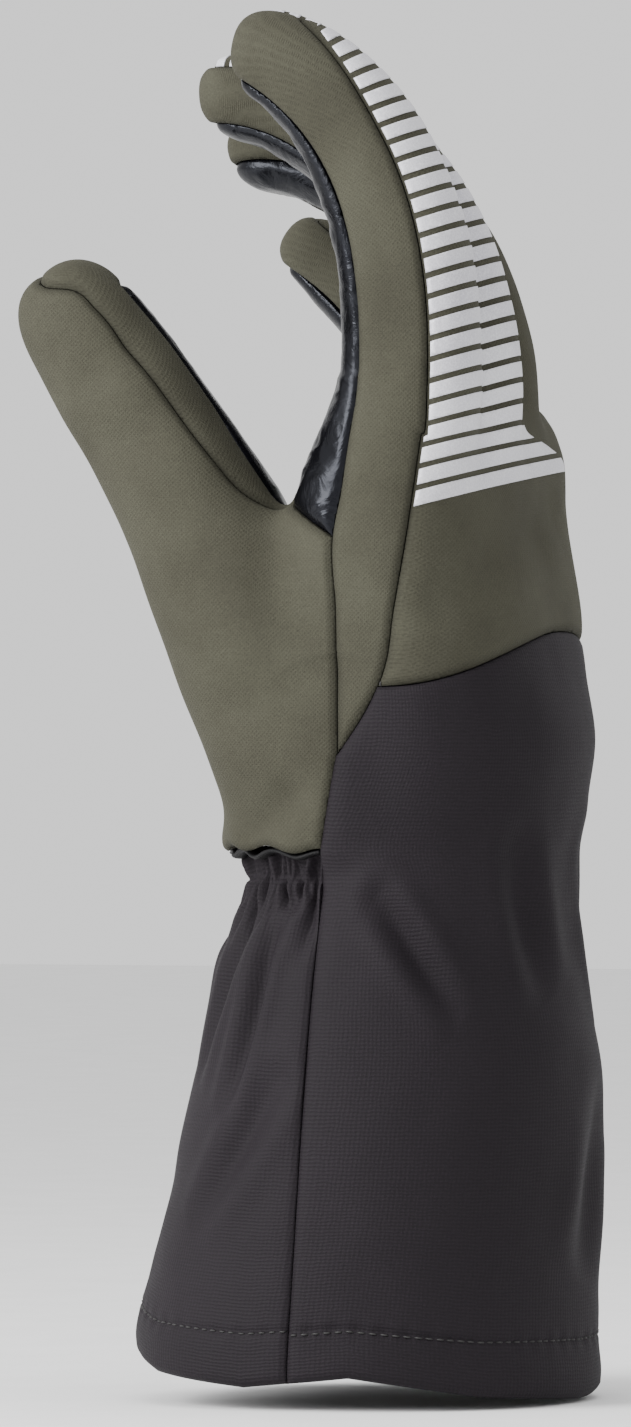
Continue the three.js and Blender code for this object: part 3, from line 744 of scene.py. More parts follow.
def panel_fields(points):
    """A value for each panel, positive inside it, in the order that the panels are cut"""
    fields = {}
    for name, sign, shift in (("index", -1, 0), ("little", 1, LITTLE_SHIFT)):
        fields[f"gusset_{name}"] = np.maximum(finger_strip(points, name, sign, OUTER_STRIP),
                                              side_strip(points, name, sign, shift))
    for near, after in zip(FINGERS, FINGERS[1:]):
        beside = DIGITS[near].distance(points) < DIGITS[after].distance(points)
        strip = np.where(beside, finger_strip(points, near, 1, INNER_STRIP),
                         finger_strip(points, after, -1, INNER_STRIP))
        fields[f"gusset_{near}_{after}"] = np.maximum(strip, web_patch(points, near, after))
    fields["thumb_palm"] = thumb_wedge(points, THUMB_PALM_ROWS)
    fields["thumb_strip"] = np.maximum(thumb_wedge(points, THUMB_STRIP_ROWS),
                                       thumb_wedge(points, THUMB_TIP_ROWS))
    fields["cuff_back"] = back_of_cuff(points)
    fields["thumb_outer"] = thumb_side(points)
    return fields


def hand_panels():
    """Table and faces of each hand panel's outer surface, cut along the seams"""
    points, faces = surface_net(*HAND_BOX, VOXEL)
    points, normals = settle(points)
    fields = panel_fields(points)
    above_welt = points[:, 2] - welt_line(points[:, 0], points[:, 1]) - PANEL_ROOM
    table = np.column_stack([points, normals, along_fingers(points), above_welt, *fields.values()])
    table, faces, _ = split(table, faces, WELT_COLUMN)
    panels = {}
    for column, name in enumerate(fields, FIRST_FIELD):
        table, piece, faces = split(table, faces, column)
        if name != "cuff_back":
            panels[name] = piece
    label = islands(faces, len(table))[faces[:, 0]]
    names, sizes = np.unique(label, return_counts=True)
    largest = [faces[label == k] for k in names[np.argsort(-sizes)[:2]]]
    panels["palm"], panels["hand_back"] = sorted(largest, key=lambda f: table[f[:, 0], 0].mean())
    done = {}
    for name, piece in panels.items():
        points, piece = weld(table, piece, PANEL_WELD)
        done[name] = compact(points, without_crumbs(points, piece))
    return done


def unit(vectors):
    return vectors / (np.linalg.norm(vectors, axis=-1, keepdims=True) + TINY)


def tangents_in(points, normals, faces):
    """For border points, the direction into the panel; then the border points' numbers"""
    edges = border(faces)
    along = points[edges[:, 1]] - points[edges[:, 0]]
    inward = unit(np.cross(normals[edges[:, 0]], along))
    total = np.zeros_like(points)
    np.add.at(total, edges[:, 0], inward)
    np.add.at(total, edges[:, 1], inward)
    return unit(total), np.unique(edges)


def seam_distance(points, edge_points):
    """Distance from each point to the nearest border point"""
    tree = KDTree(len(edge_points))
    for i, p in enumerate(edge_points.tolist()):
        tree.insert(p, i)
    tree.balance()
    return np.array([tree.find(p)[2] for p in points.tolist()])


def sewn_valley(distance):
    """How far a panel dips toward its seam"""
    narrow = VALLEY_DEPTH * np.exp(-(distance / VALLEY_WIDTH) ** 2)
    return -narrow - SHOULDER_DEPTH * np.exp(-(distance / SHOULDER_WIDTH) ** 2)


def seen_point(across, height):
    """Nearest point of the glove behind a place in the photo's view"""
    steps = np.arange(*SIGHT_LINE)
    line = VIEW_RIGHT * across + np.array([0, 0, height]) + steps[:, None] * VIEW_FORWARD
    return line[int(np.argmax(glove(line) < 0))]


def leather_folds(points):
    """Creased relief of thin leather"""
    warped = points + LEATHER_WARP * np.stack([value_noise(points, 9, k) for k in range(3)], 1)
    broad = value_noise(warped * (0.7, 1.0, 1.1), 11, 4)
    ridge = 1 - np.abs(value_noise(warped * (1, 1, 1.4), 5.5, 5)) * 2
    fine = 1 - np.abs(value_noise(warped * (1, 1, 1.3), 2.6, 6)) * 2
    return 0.6 * broad + 0.3 * ridge + 0.08 * fine


def cloth_swell(points):
    """Slow rise and fall of padded cloth, and a few soft dents on the photographed side"""
    swell = 0.6 * value_noise(points, 26, 8) + 0.25 * value_noise(points, 11, 9)
    for start, end, reach, depth in DENTS:
        a, b = seen_point(*start), seen_point(*end)
        t = np.clip((points - a) @ (b - a) / ((b - a) @ (b - a)), 0, 1)
        far = np.linalg.norm(points - a - t[:, None] * (b - a), axis=1)
        swell = swell - depth * np.exp(-(far / reach) ** 2)
    return swell


def thick(points, normals, faces, wall):
    """Closed shell between an outer surface and one a wall further in"""
    count = len(points)
    inner = points - normals * np.reshape(wall, (-1, 1))
    a, b = border(faces).T
    sides = np.concatenate([np.stack([b, a, a + count], 1), np.stack([b, a + count, b + count], 1)])
    return np.concatenate([points, inner]), np.concatenate([faces, sides, faces[:, ::-1] + count])


def smooth_normals(points, faces):
    """Area-weighted direction of each point"""
    a, b, c = (points[faces[:, k]] for k in range(3))
    face = np.cross(b - a, c - a)
    total = np.zeros_like(points)
    for k in range(3):
        np.add.at(total, faces[:, k], face)
    return unit(total)


def steadiness(points, faces, value):
    """How fast a value changes along the surface near each point, from 0 to 1"""
    total = np.zeros(len(points))
    count = np.zeros(len(points))
    for a, b in ((0, 1), (1, 2), (2, 0)):
        one, two = faces[:, a], faces[:, b]
        far = np.linalg.norm(points[one] - points[two], axis=1) + TINY
        rate = np.abs(value[one] - value[two]) / far
        for end in (one, two):
            np.add.at(total, end, rate)
            np.add.at(count, end, 1)
    return smoothstep(0.25, 0.6, 1.5 * total / np.maximum(count, 1))


def make(name, points, faces, looks, slot, node=None, cloth=None, inside=0):
    """Mesh object in metres, riding on the glove; the last faces take the second look"""
    mesh = bpy.data.meshes.new(name)
    mesh.from_pydata((points * MM).tolist(), [], faces.tolist())
    for look in looks:
        mesh.materials.append(look)
    if inside:
        index = np.zeros(len(faces), np.int32)
        index[-inside:] = 1
        mesh.polygons.foreach_set("material_index", index)
    mesh.polygons.foreach_set("use_smooth", np.ones(len(faces), bool))
    if cloth is not None:
        layer = mesh.attributes.new("cloth", "FLOAT_VECTOR", "POINT")
        layer.data.foreach_set("vector", cloth.astype(np.float32).ravel())
        layer = mesh.attributes.new("weave", "FLOAT", "POINT")
        layer.data.foreach_set("value", steadiness(points, faces, cloth[:, 1]).astype(np.float32))
    mesh.update()
    piece = bpy.data.objects.new(name, mesh)
    bpy.context.scene.collection.objects.link(piece)
    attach(piece, "root")
    if node:
        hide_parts(node)
    return piece


def shell(node, points, normals, faces, wall, looks, slot, cloth):
    """Thick panel in place of a node, with a crisp turn from its faces to its cut edges"""
    solid, solid_faces = thick(points, normals, faces, wall)
    both = np.concatenate([cloth, cloth])
    piece = make(f"{node}_panel", solid, solid_faces, looks, slot, node, both, len(faces))
    smooth = np.ones(len(solid_faces), bool)
    smooth[len(faces):-len(faces)] = False
    piece.data.polygons.foreach_set("use_smooth", smooth)


def dress_panels(panels, looks):
    """Gives each hand panel its relief, edges and wall"""
    finished = {}
    for name, (table, faces) in panels.items():
        points, normals = table[:, :3].copy(), unit(table[:, 3:6])
        inward, edge = tangents_in(points, normals, faces)
        distance = seam_distance(points, points[edge])
        points[edge] += EDGE_GAP * inward[edge]
        leather = name in LEATHER_RELIEF
        if leather:
            calm = 1 - np.exp(-(distance / LEATHER_EDGE) ** 2)
            relief = LEATHER_RELIEF[name] * leather_folds(points) * calm
        else:
            relief = cloth_swell(points)
        points = points + normals * (sewn_valley(distance) + relief)[:, None]
        across = points[:, 0] if name.startswith(("gusset", "thumb_outer")) else points[:, 1]
        cloth = np.column_stack([across, table[:, RUN_COLUMN], distance])
        look, slot = ("leather", "black_leather") if leather else ("olive", "olive_softshell")
        shell(name, points, normals, faces, HAND_WALL, [looks[look], looks["lining"]], slot, cloth)
        finished[name] = (points, normals, faces, table)
    return finished


def stripe_run(points):
    """Run along the first finger and how far right each point lies, both in the photo's view"""
    digit = DIGITS["index"]
    aside = points.copy()
    aside[:, 0] += (points[:, 1] - digit.root[1]) * VIEW_RIGHT[1] / VIEW_RIGHT[0]
    aside[:, 1] = digit.root[1]
    return digit.locate(aside)[0], points @ VIEW_RIGHT


def stripe_level(points, edge):
    """Place along the film, slanted so that the stripes rise away from its thumb-side edge"""
    digit = DIGITS["index"]
    run, across = stripe_run(points)
    lean = np.arctan(np.tan(np.interp(run, digit.run, digit.heading)) * VIEW_RIGHT[0])
    slant = STRIPE_SLOPE * np.cos(lean) - np.sin(lean)
    return run - slant * (across - np.interp(run, *edge))


def on_middle_tip(points, level):
    """Place along the film, which follows the middle finger's own length over its tip"""
    middle = DIGITS["middle"]
    own = middle.locate(points)[0]
    nearer = middle.distance(points) < DIGITS["index"].distance(points)
    turn = nearer & (np.abs(own / middle.length - TIP_START) < TIP_BLEND / 3)
    offset = (level - own)[turn].mean()
    tip = nearer * smoothstep(TIP_START - TIP_BLEND, TIP_START + TIP_BLEND, own / middle.length)
    return mix(level, own + offset, tip)


def stripe_line(k):
    """Place of a gap of the film past the lowest one"""
    return STRIPE_PITCH * k - STRIPE_TIGHTEN * max(k, 0) ** 2


def smooth_row(values, reach=9):
    """Moving average of a row of numbers"""
    padded = np.pad(values, reach, mode="edge")
    return np.convolve(padded, np.ones(2 * reach + 1) / (2 * reach + 1), "valid")


def gathered_mesh(parts):
    """One mesh of several"""
    points, faces, start = [], [], 0
    for p, f in parts:
        points.append(p)
        faces.append(f + start)
        start += len(p)
    return np.concatenate(points), np.concatenate(faces)


def film(panel, look):
    """Striped film on the back of the first two fingers and over the knuckles"""
    points, normals, faces, table = panel
    beside = -table[:, FIRST_FIELD]
    row = (np.abs(beside) < 0.02) & (points[:, 1] < FILM_SIDE)
    run, across = stripe_run(points[row])
    order = np.argsort(run)
    steps = np.arange(run.min(), run.max(), 2.0)
    edge = (steps, np.interp(steps, run[order], smooth_row(across[order])))
    lowest = np.interp(STRIPE_START, *zip(*sorted(zip(points[row, 2], run))))
    level = on_middle_tip(points, stripe_level(points, edge) - lowest)
    reach = DIGITS["middle"].root[1] + FILM_REACH + FILM_WIDER * smoothstep(*FILM_WIDENS, level)
    table = np.column_stack([points, normals, level, beside - STRIPE_MARGIN, reach - points[:, 1]])
    for column in (7, 8):
        table, faces, _ = split(table, faces, column)
    table, faces = compact(table, faces)
    bars = []
    for k in range(-1, STRIPE_COUNT):
        low, high = stripe_line(k) + STRIPE_GAP / 2, stripe_line(k + 1) - STRIPE_GAP / 2
        near = table[faces][:, :, 6]
        bar, tri = compact(table, faces[(near.max(1) > low) & (near.min(1) < high)])
        bar = np.column_stack([bar, bar[:, 6] - low, high - bar[:, 6]])
        for column in (9, 10):
            bar, tri, _ = split(bar, tri, column)
        if len(tri) > 5:
            bar, tri = compact(*weld(bar, tri, FILM_WELD))
            out = unit(bar[:, 3:6])
            bars.append(thick(bar[:, :3] + out * FILM_RISE, out, tri, 2 * FILM_RISE))
    points, faces = gathered_mesh(bars)
    cloth = np.column_stack([points[:, 1], points[:, 2], 0 * points[:, 2]])
    make("striped_film", points, faces, [look], None, cloth=cloth)


def section_point(angle, height, rows):
    """Point of the cuff's superellipse at an angle from the back"""
    half_x, half_y, setback, power = (read(rows, height, k) for k in (1, 2, 3, 4))
    c, s = np.cos(angle), np.sin(angle)
    x = np.sign(c) * np.abs(c) ** (2 / power) * half_x
    y = np.sign(s) * np.abs(s) ** (2 / power) * half_y
    return setback + x, y


def seam_angle(height, rows, edge=seam_setback):
    """Angle from the back at which the side seam runs at a height"""
    half_x, setback, power = (read(rows, height, k) for k in (1, 3, 4))
    c = np.clip((edge(height) - setback) / half_x, -1, 1)
    return np.arccos(np.sign(c) * np.abs(c) ** (power / 2))


def strip_edge(height, shift):
    """Setback of the cuff back's side edge, which gives way to a side strip above the seam"""
    share = (height - CUFF) / PALM
    point = STRIP_ROWS[0][0]
    beside = SEAM_SETBACK - shift * (share - point) + STRIP_REACH * read(STRIP_ROWS, share, 2)
    return np.where(share > point, beside, seam_setback(height))


def rim_lift(angle, height):
    """How far the waved rim stands above its lowest edge"""
    turn = np.abs((angle + np.pi) % (2 * np.pi) - np.pi) / np.pi
    fade = np.clip(1 - height / CUFF / RIM_FADE, 0, None)
    return RIM_LIFT * np.interp(turn, *np.array(RIM_ROWS).T) * fade


def grid_faces(columns, rows):
    """Triangles of a grid whose points run row by row"""
    i, j = np.meshgrid(np.arange(columns - 1), np.arange(rows - 1), indexing="xy")
    a = (j * columns + i).ravel()
    b, c, d = a + 1, a + columns + 1, a + columns
    return np.concatenate([np.stack([a, b, c], 1), np.stack([a, c, d], 1)])


def folds(share, height, span, table):
    """Soft valleys along slanted lines of a cuff panel"""
    total = np.zeros_like(height)
    for s0, h0, s1, h1, width, depth in table:
        px, py = share * span - s0 * span, height - h0
        dx, dy = (s1 - s0) * span, h1 - h0
        t = np.clip((px * dx + py * dy) / (dx * dx + dy * dy), 0, 1)
        far = np.hypot(px - t * dx, py - t * dy)
        fade = FOLD_DEPTH * depth * np.sin(np.pi * np.clip(0.12 + 0.88 * t, 0, 1)) ** 0.8
        total -= fade * np.exp(-(far / width) ** 2)
        total += 0.5 * fade * np.exp(-((far - 1.9 * width) / width) ** 2)
    return total


def gathers(share, height, span):
    """Sharp pleats that hang from the welt and fade downward, and small ridges above them"""
    random = np.random.default_rng(PLEAT_SEED)
    pleats = np.zeros_like(height)
    for k in range(PLEAT_COUNT):
        shift, deep, wide, end, lean, phase = (random.uniform(*limits) for limits in PLEAT_RANGES)
        reach = smoothstep(GATHER_END + end, GATHER_LINE - 1, height)
        line = (k + 0.5 + shift) / PLEAT_COUNT * span
        line = line + lean * (height - GATHER_LINE) + 0.35 * np.sin(height / 2.6 + phase)
        spread = PLEAT_WIDTH * wide * (1 + 1.6 * (1 - reach))
        pleats -= PLEAT_DEPTH * deep * reach * np.exp(-np.abs((share * span - line) / spread) ** 1.6)
    ridges = np.zeros_like(height)
    for k in range(PLEAT_COUNT):
        place = (k + random.uniform(0.1, 0.9)) / PLEAT_COUNT * span
        line = place + random.uniform(-0.5, 0.5) * (height - GATHER_LINE)
        size = random.choice([0.25, 0.5, 1.0])
        ridges = np.maximum(ridges, size * np.exp(-np.abs(share * span - line) ** 1.7))
    below = pleats + 0.6 * smoothstep(GATHER_END, GATHER_LINE, height)
    below *= 1 - 0.4 * smoothstep(GATHER_LINE + 2, GATHER_TOP, height)
    above = -RUFFLE_DEPTH * (1 - 1.05 * ridges)
    blend = smoothstep(GATHER_LINE - 1.2, GATHER_LINE + 1.6, height)
    return mix(below, above, blend) * (1 - 0.75 * smoothstep(GATHER_TOP - 1.2, GATHER_TOP, height))


def cuff_relief(share, height, span, points, fold_table, gathered):
    """All relief of a cuff panel except the valleys at its seams"""
    relief = folds(share, height, span, fold_table)
    relief += 0.5 * value_noise(points * (1, 1, 0.6), 24, 11) + 0.2 * value_noise(points, 9, 12)
    if gathered:
        relief += gathers(share, height, span)
    hem = np.exp(-((height - HEM_HEIGHT) / 0.7) ** 2)
    pucker = 0.12 * np.sin(share * span / 0.9) * np.exp(-((height - HEM_HEIGHT) / 2.2) ** 2)
    relief = relief * smoothstep(0, 8, height) - 0.55 * hem + pucker
    if gathered:
        return relief
    return relief * (0.35 + 0.65 * smoothstep(0, 5, np.minimum(share, 1 - share) * span))


def follow_hand(points, height, centre):
    """Moves the points above the wrist onto the glove's surface"""
    x, y, _ = points.T
    upper = height > CUFF - HAND_BLEND
    direction = unit(np.column_stack([x - centre, y, 0 * x]))[upper]
    moved = points[upper]
    for _ in range(5):
        moved = moved - direction * glove(moved)[:, None] * 0.9
    fade = smoothstep(CUFF - HAND_BLEND, CUFF, height[upper])
    points[upper] = mix(points[upper], moved, fade[:, None])


def cuff_panel(name, angles, highest, top_line, rows, looks):
    """One half of the cuff from the rim to its upper seam: grids of points, normals and heights"""
    columns, lines, span, fold_table = CUFF_GRIDS[name]
    gathered = name == "cuff_palm"
    share = np.tile(np.linspace(0, 1, columns), lines)
    rise = np.repeat(np.linspace(0, 1, lines), columns)
    height = rise * highest
    for _ in range(4):
        low_angle, high_angle = angles(height)
        angle = mix(low_angle, high_angle, share)
        x, y = section_point(angle, height, rows)
        height = rise * top_line(y)
    points = np.column_stack([x, y, height])
    if not gathered:
        follow_hand(points, height, read(rows, height, 3))
    faces = grid_faces(columns, lines)
    if low_angle[-1] > high_angle[-1]:
        faces = faces[:, ::-1]
    normals = smooth_normals(points, faces)
    inward, edge = tangents_in(points, normals, faces)
    distance = seam_distance(points, points[edge[height[edge] > 1.0]])
    relief = cuff_relief(share, height, span, points, fold_table, gathered)
    points = points + normals * (0.8 * sewn_valley(distance) + relief)[:, None]
    points[edge] += EDGE_GAP * inward[edge]
    if gathered:
        top = welt_line(points[:, 0], points[:, 1]) - PANEL_ROOM
        points[:, 2] += (top - highest) * smoothstep(GATHER_LINE, highest, height)
    points[:, 2] += rim_lift(angle, height)
    roll = RIM_ROLL * smoothstep(RIM_ROLL_HEIGHT, 0, height) ** 2
    points -= normals * roll[:, None]
    hem = smoothstep(HEM_HEIGHT + 1, HEM_HEIGHT - 1, height)
    wall = mix(CUFF_WALL, HEM_WALL, hem) - roll
    cloth = np.column_stack([angle * CLOTH_RADIUS, height, distance])
    pair = [looks["black"], looks["lining"]]
    shell(name, points, normals, faces, wall, pair, "black_softshell", cloth)
    shape = (lines, columns)
    return points.reshape(*shape, 3), normals.reshape(*shape, 3), height.reshape(shape)


def cuffs(looks):
    """Palm and back halves of the gauntlet"""
    palm_rows = cuff_rows()

    def palm_angles(height):
        edge = seam_angle(height, palm_rows)
        return 2 * np.pi - edge, edge

    def back_angles(height):
        low = seam_angle(height, TRUNK_ROWS, lambda z: strip_edge(z, 0))
        high = seam_angle(height, TRUNK_ROWS, lambda z: strip_edge(z, LITTLE_SHIFT))
        return -low, high

    palm_top = CUFF - WELT_ROOM
    palm = cuff_panel("cuff_palm", palm_angles, palm_top, lambda y: palm_top, palm_rows, looks)
    back = cuff_panel("cuff_back", back_angles, CUFF + ARCH_HEIGHT, arch_line, TRUNK_ROWS, looks)
    return palm, back


def tube(line, out, radius, sides, squash=1.0):
    """Closed tube with capped ends along a line; out is a direction across it at each point"""
    run = unit(np.gradient(line, axis=0))
    out = unit(out - (out * run).sum(1, keepdims=True) * run)
    across = np.cross(run, out)
    turn = np.linspace(0, 2 * np.pi, sides, endpoint=False)
    rings = [p + r * (squash * np.outer(np.cos(turn), o) + np.outer(np.sin(turn), a))
             for p, o, a, r in zip(line, out, across, radius)]
    last = (len(line) - 1) * sides
    first_cap, last_cap = last + sides, last + sides + 1
    faces = []
    for j in range(sides):
        k = (j + 1) % sides
        for i in range(0, last, sides):
            faces += [(i + j, i + k, i + k + sides), (i + j, i + k + sides, i + j + sides)]
        faces += [(first_cap, k, j), (last_cap, last + j, last + k)]
    return np.concatenate(rings + [[line[0]], [line[-1]]]), np.array(faces)


def welt(looks):
    """Grey-black welt round the palm side of the wrist"""
    turn = np.linspace(np.pi / 2 + 0.1, 1.5 * np.pi - 0.1, WELT_STEPS)
    out = np.stack([np.cos(turn), np.sin(turn), 0 * turn], 1)
    line = np.stack([WELT_SETBACK + WELT_DEPTH * out[:, 0], WELT_WIDTH * out[:, 1], 0 * turn], 1)
    line[:, 2] = welt_line(line[:, 0], line[:, 1])
    line += out * (0.25 * np.sin(17 * turn) - WELT_SINK)[:, None]
    ends = np.minimum(turn - turn[0], turn[-1] - turn) * WRIST_RADIUS
    radius = PIPING_RADIUS * np.sqrt(1 - (1 - np.clip(ends / PIPING_RADIUS, 0.05, 1)) ** 2)
    points, faces = tube(line, out, radius * (1 + 0.06 * np.sin(41 * turn)), WELT_SIDES, WELT_FLAT)
    cloth = np.zeros((len(points), 3))
    cloth[:-2, 0] = np.repeat(turn * WRIST_RADIUS, WELT_SIDES)
    make("wrist_welt", points, faces, [looks["welt"]], "piping_cord", "wrist_piping", cloth)


def stitch(path, normals):
    """Row of short threads along a seam line"""
    step = np.linalg.norm(np.diff(path, axis=0), axis=1)
    run = np.concatenate([[0], np.cumsum(step)])
    if run[-1] < 3 * STITCH_PITCH:
        return []
    count = int(run[-1] / STITCH_PITCH)
    found = []
    for start in (np.arange(count) + 0.2) * run[-1] / count:
        t = start + np.linspace(0, STITCH_LENGTH, len(STITCH_RISE))
        line = np.stack([np.interp(t, run, path[:, k]) for k in range(3)], 1)
        out = unit(np.stack([np.interp(t, run, normals[:, k]) for k in range(3)], 1))
        line = line + out * np.array(STITCH_RISE)[:, None]
        found.append(tube(line, out, STITCH_RADIUS * np.array(STITCH_TAPER), STITCH_SIDES))
    return found


def smooth_path(path, rounds):
    path = path.copy()
    for _ in range(rounds):
        path[1:-1] = (path[:-2] + 2 * path[1:-1] + path[2:]) / 4
    return path


def panel_stitches(panel, inset, keep):
    """Threads beside the border of a finished panel, where keep holds"""
    points, normals, faces, _ = panel
    inward, _ = tangents_in(points, normals, faces)
    found = []
    for loop in loops(border(faces)):
        ring = np.array(loop + loop[:1])
        path = smooth_path(points[ring] + inset * inward[ring] - 0.1 * normals[ring], 10)
        use = keep(path)
        cuts = np.flatnonzero(np.diff(use.astype(int))) + 1
        for piece in np.split(np.arange(len(ring)), cuts):
            if len(piece) > 8 and use[piece[0]]:
                found += stitch(path[piece], normals[ring[piece]])
    return found


def far_from_leather(points):
    """Whether points lie on the stitched side of the thumb strip"""
    _, out, side = DIGITS["thumb"].locate(points)
    return np.degrees(np.arctan2(-side, out)) > STITCHED_ANGLE


def stitches(panels, cuff_grids, looks):
    """Visible threads of the seams and of the hem"""
    seams = panel_stitches(panels["thumb_strip"], 1.1, far_from_leather)
    seams += panel_stitches(panels["gusset_index"], 0.9, lambda p: p[:, 2] > CUFF + 25)
    seams += panel_stitches(panels["hand_back"], 1.3, lambda p: p[:, 2] < arch_line(p[:, 1]) + 5)
    hem = []
    for grid, normals, height in cuff_grids:
        row = int(np.argmin(np.abs(height[:, height.shape[1] // 2] - HEM_HEIGHT)))
        hem += stitch(grid[row] + 0.1 * normals[row], normals[row])
    for name, threads in (("seam_threads", seams), ("hem_threads", hem)):
        make(name, *gathered_mesh(threads), [looks["thread"]], None)


def linear(r, g, b):
    """sRGB numbers from 0 to 255 as linear colour"""
    return tuple((c / 255 / 12.92) if c <= 10 else ((c / 255 + 0.055) / 1.055) ** 2.4 for c in (r, g, b))


class Look:
    """Node material made a step at a time; colours are given in sRGB numbers"""

    def __init__(self, name, color, rough, **values):
        self.material = bpy.data.materials.new(name)
        self.material.use_nodes = True
        self.tree = self.material.node_tree
        self.shader = self.tree.nodes["Principled BSDF"]
        self.place = self.node("ShaderNodeTexCoord").outputs["Object"]
        self.set(base_color=(*linear(*color), 1), roughness=rough, **values)

    def set(self, **values):
        """Sets inputs of the shader, such as sheen_weight, to a value or a node's output"""
        inputs = {item.name.lower().replace(" ", "_"): item for item in self.shader.inputs}
        for key, value in values.items():
            if isinstance(value, bpy.types.NodeSocket):
                self.link(value, inputs[key])
            else:
                inputs[key].default_value = value

    def node(self, kind, inputs=(), **values):
        node = self.tree.nodes.new(kind)
        for key, value in values.items():
            setattr(node, key, value)
        for key, value in dict(inputs).items():
            node.inputs[key].default_value = value
        return node

    def link(self, source, target):
        self.tree.links.new(source, target)

    def math(self, operation, a, b=0.0):
        node = self.node("ShaderNodeMath", operation=operation)
        for socket, value in zip(node.inputs, (a, b)):
            if isinstance(value, (int, float)):
                socket.default_value = value
            else:
                self.link(value, socket)
        return node.outputs[0]

    def total(self, *terms):
        """Sum of values, each times its share"""
        scaled = [self.math("MULTIPLY", value, share) for value, share in terms]
        result = scaled[0]
        for value in scaled[1:]:
            result = self.math("ADD", result, value)
        return result

    def noise(self, scale, detail=3.0, rough=0.55, distortion=0.0):
        node = self.node("ShaderNodeTexNoise", {"Scale": scale, "Detail": detail, "Roughness": rough,
                                                "Distortion": distortion})
        self.link(self.place, node.inputs["Vector"])
        return node.outputs["Fac"]

    def cells(self, scale, feature="F1"):
        node = self.node("ShaderNodeTexVoronoi", {"Scale": scale}, feature=feature)
        self.link(self.place, node.inputs["Vector"])
        return node.outputs["Distance"]

    def tone(self, value, *stops):
        """Colour that changes with a value; each stop is a place and a colour"""
        node = self.node("ShaderNodeValToRGB")
        while len(node.color_ramp.elements) < len(stops):
            node.color_ramp.elements.new(0.5)
        for element, (place, *color) in zip(node.color_ramp.elements, stops):
            element.position = place
            element.color = (*linear(*color), 1)
        self.link(value, node.inputs["Fac"])
        return node.outputs["Color"]

    def span(self, value, low, high, to_low, to_high):
        node = self.node("ShaderNodeMapRange", {"From Min": low, "From Max": high, "To Min": to_low,
                                                "To Max": to_high})
        self.link(value, node.inputs["Value"])
        return node.outputs["Result"]

    def bump(self, height, distance, strength, after=None):
        node = self.node("ShaderNodeBump", {"Distance": distance, "Strength": strength})
        self.link(height, node.inputs["Height"])
        if after is not None:
            self.link(after, node.inputs["Normal"])
        self.set(normal=node.outputs["Normal"])
        return node.outputs["Normal"]

    def cloth(self):
        """Across and along the panel in millimetres, and the distance from its seam"""
        vector = self.node("ShaderNodeAttribute", attribute_name="cloth").outputs["Vector"]
        apart = self.node("ShaderNodeSeparateXYZ")
        self.link(vector, apart.inputs[0])
        return apart.outputs

    def weave(self, *terms):
        """Weave of the given values, which fades over the fingertips"""
        share = self.node("ShaderNodeAttribute", attribute_name="weave").outputs["Fac"]
        return self.math("MULTIPLY", self.total(*terms) if len(terms) > 1 else terms[0], share)

    def wave(self, value, pitch):
        return self.math("SINE", self.math("MULTIPLY", value, 2 * math.pi / pitch))


def olive_look():
    """Softshell with a fine slanted weave, darker beside its seams where shade is painted into its colour
    """
    look = Look("olive_softshell_cloth", (89, 87, 74), 0.82, sheen_weight=0.08, specular_ior_level=0.12,
                sheen_tint=(*linear(129, 127, 112), 1))
    across, along, seam = look.cloth()
    wobble = look.math("MULTIPLY", look.noise(260, 2), 0.9)
    slanted = [look.wave(look.math("ADD", look.math(kind, across, along), wobble), 0.95)
               for kind in ("ADD", "SUBTRACT")]
    weave = look.weave(look.math("MAXIMUM", *slanted))
    fuzz = look.noise(2400, 3, 0.65)
    mottle = look.total((weave, 0.05), (fuzz, 0.6), (look.noise(38, 4), 0.55))
    tone = look.tone(mottle, (0.32, 43, 42, 34), (0.56, 57, 56, 47), (0.85, 71, 71, 60))
    # Painted shade: the colour is multiplied down to 0.62 within 2.2 mm of each seam, standing in for the
    # shadow in the sewn valleys
    painted_seam_shade = look.node("ShaderNodeMix", data_type="RGBA", blend_type="MULTIPLY")
    painted_seam_shade.inputs["Factor"].default_value = 1
    look.link(tone, painted_seam_shade.inputs["A"])
    look.link(look.span(seam, 0.0, 2.2, 0.62, 1.0), painted_seam_shade.inputs["B"])
    look.set(base_color=painted_seam_shade.outputs["Result"], roughness=look.span(fuzz, 0.3, 0.7, 0.78, 0.92))
    look.bump(look.total((weave, 0.3), (fuzz, 1)), 0.00016, 0.8)
    return look.material


def black_look():
    """Gauntlet softshell with a fine crosswise weave"""
    look = Look("black_softshell_cloth", (40, 36, 40), 0.7, sheen_weight=0.04, sheen_roughness=0.45,
                sheen_tint=(*linear(103, 95, 105), 1), specular_ior_level=0.14)
    across, along, _ = look.cloth()
    wobble = look.math("MULTIPLY", look.noise(300, 2), 0.8)
    rows = look.wave(look.math("ADD", along, wobble), 0.85)
    columns = look.wave(look.math("ADD", across, wobble), 1.0)
    weave = look.weave((rows, 1), (columns, 0.5))
    fuzz = look.noise(3000, 2, 0.6)
    mottle = look.total((weave, 0.07), (fuzz, 0.8), (look.noise(30, 4), 0.25))
    look.set(base_color=look.tone(mottle, (0.25, 16, 13, 16), (0.52, 24, 20, 24), (0.85, 35, 30, 35)),
             roughness=look.span(fuzz, 0.3, 0.7, 0.6, 0.78))
    look.bump(look.total((weave, 0.3), (fuzz, 1)), 0.00014, 0.8)
    return look.material


def leather_look():
    """Thin glossy black leather with grain and fine creases"""
    look = Look("black_grain_leather", (20, 20, 24), 0.35, specular_ior_level=0.2,
                specular_tint=(0.84, 0.88, 1, 1))
    grain = look.total((look.cells(420, "DISTANCE_TO_EDGE"), 0.9), (look.cells(900), 0.25))
    ridge = look.math("ABSOLUTE", look.math("SUBTRACT", look.noise(130, 4, 0.55, 1.2), 0.5))
    look.set(base_color=look.tone(look.noise(45, 3), (0.3, 4, 4, 6), (0.6, 7, 7, 10), (0.8, 12, 12, 17)),
             roughness=look.span(look.noise(120, 3), 0.3, 0.7, 0.2, 0.34))
    look.bump(grain, 0.00006, 0.35, look.bump(ridge, 0.0011, 0.4))
    return look.material


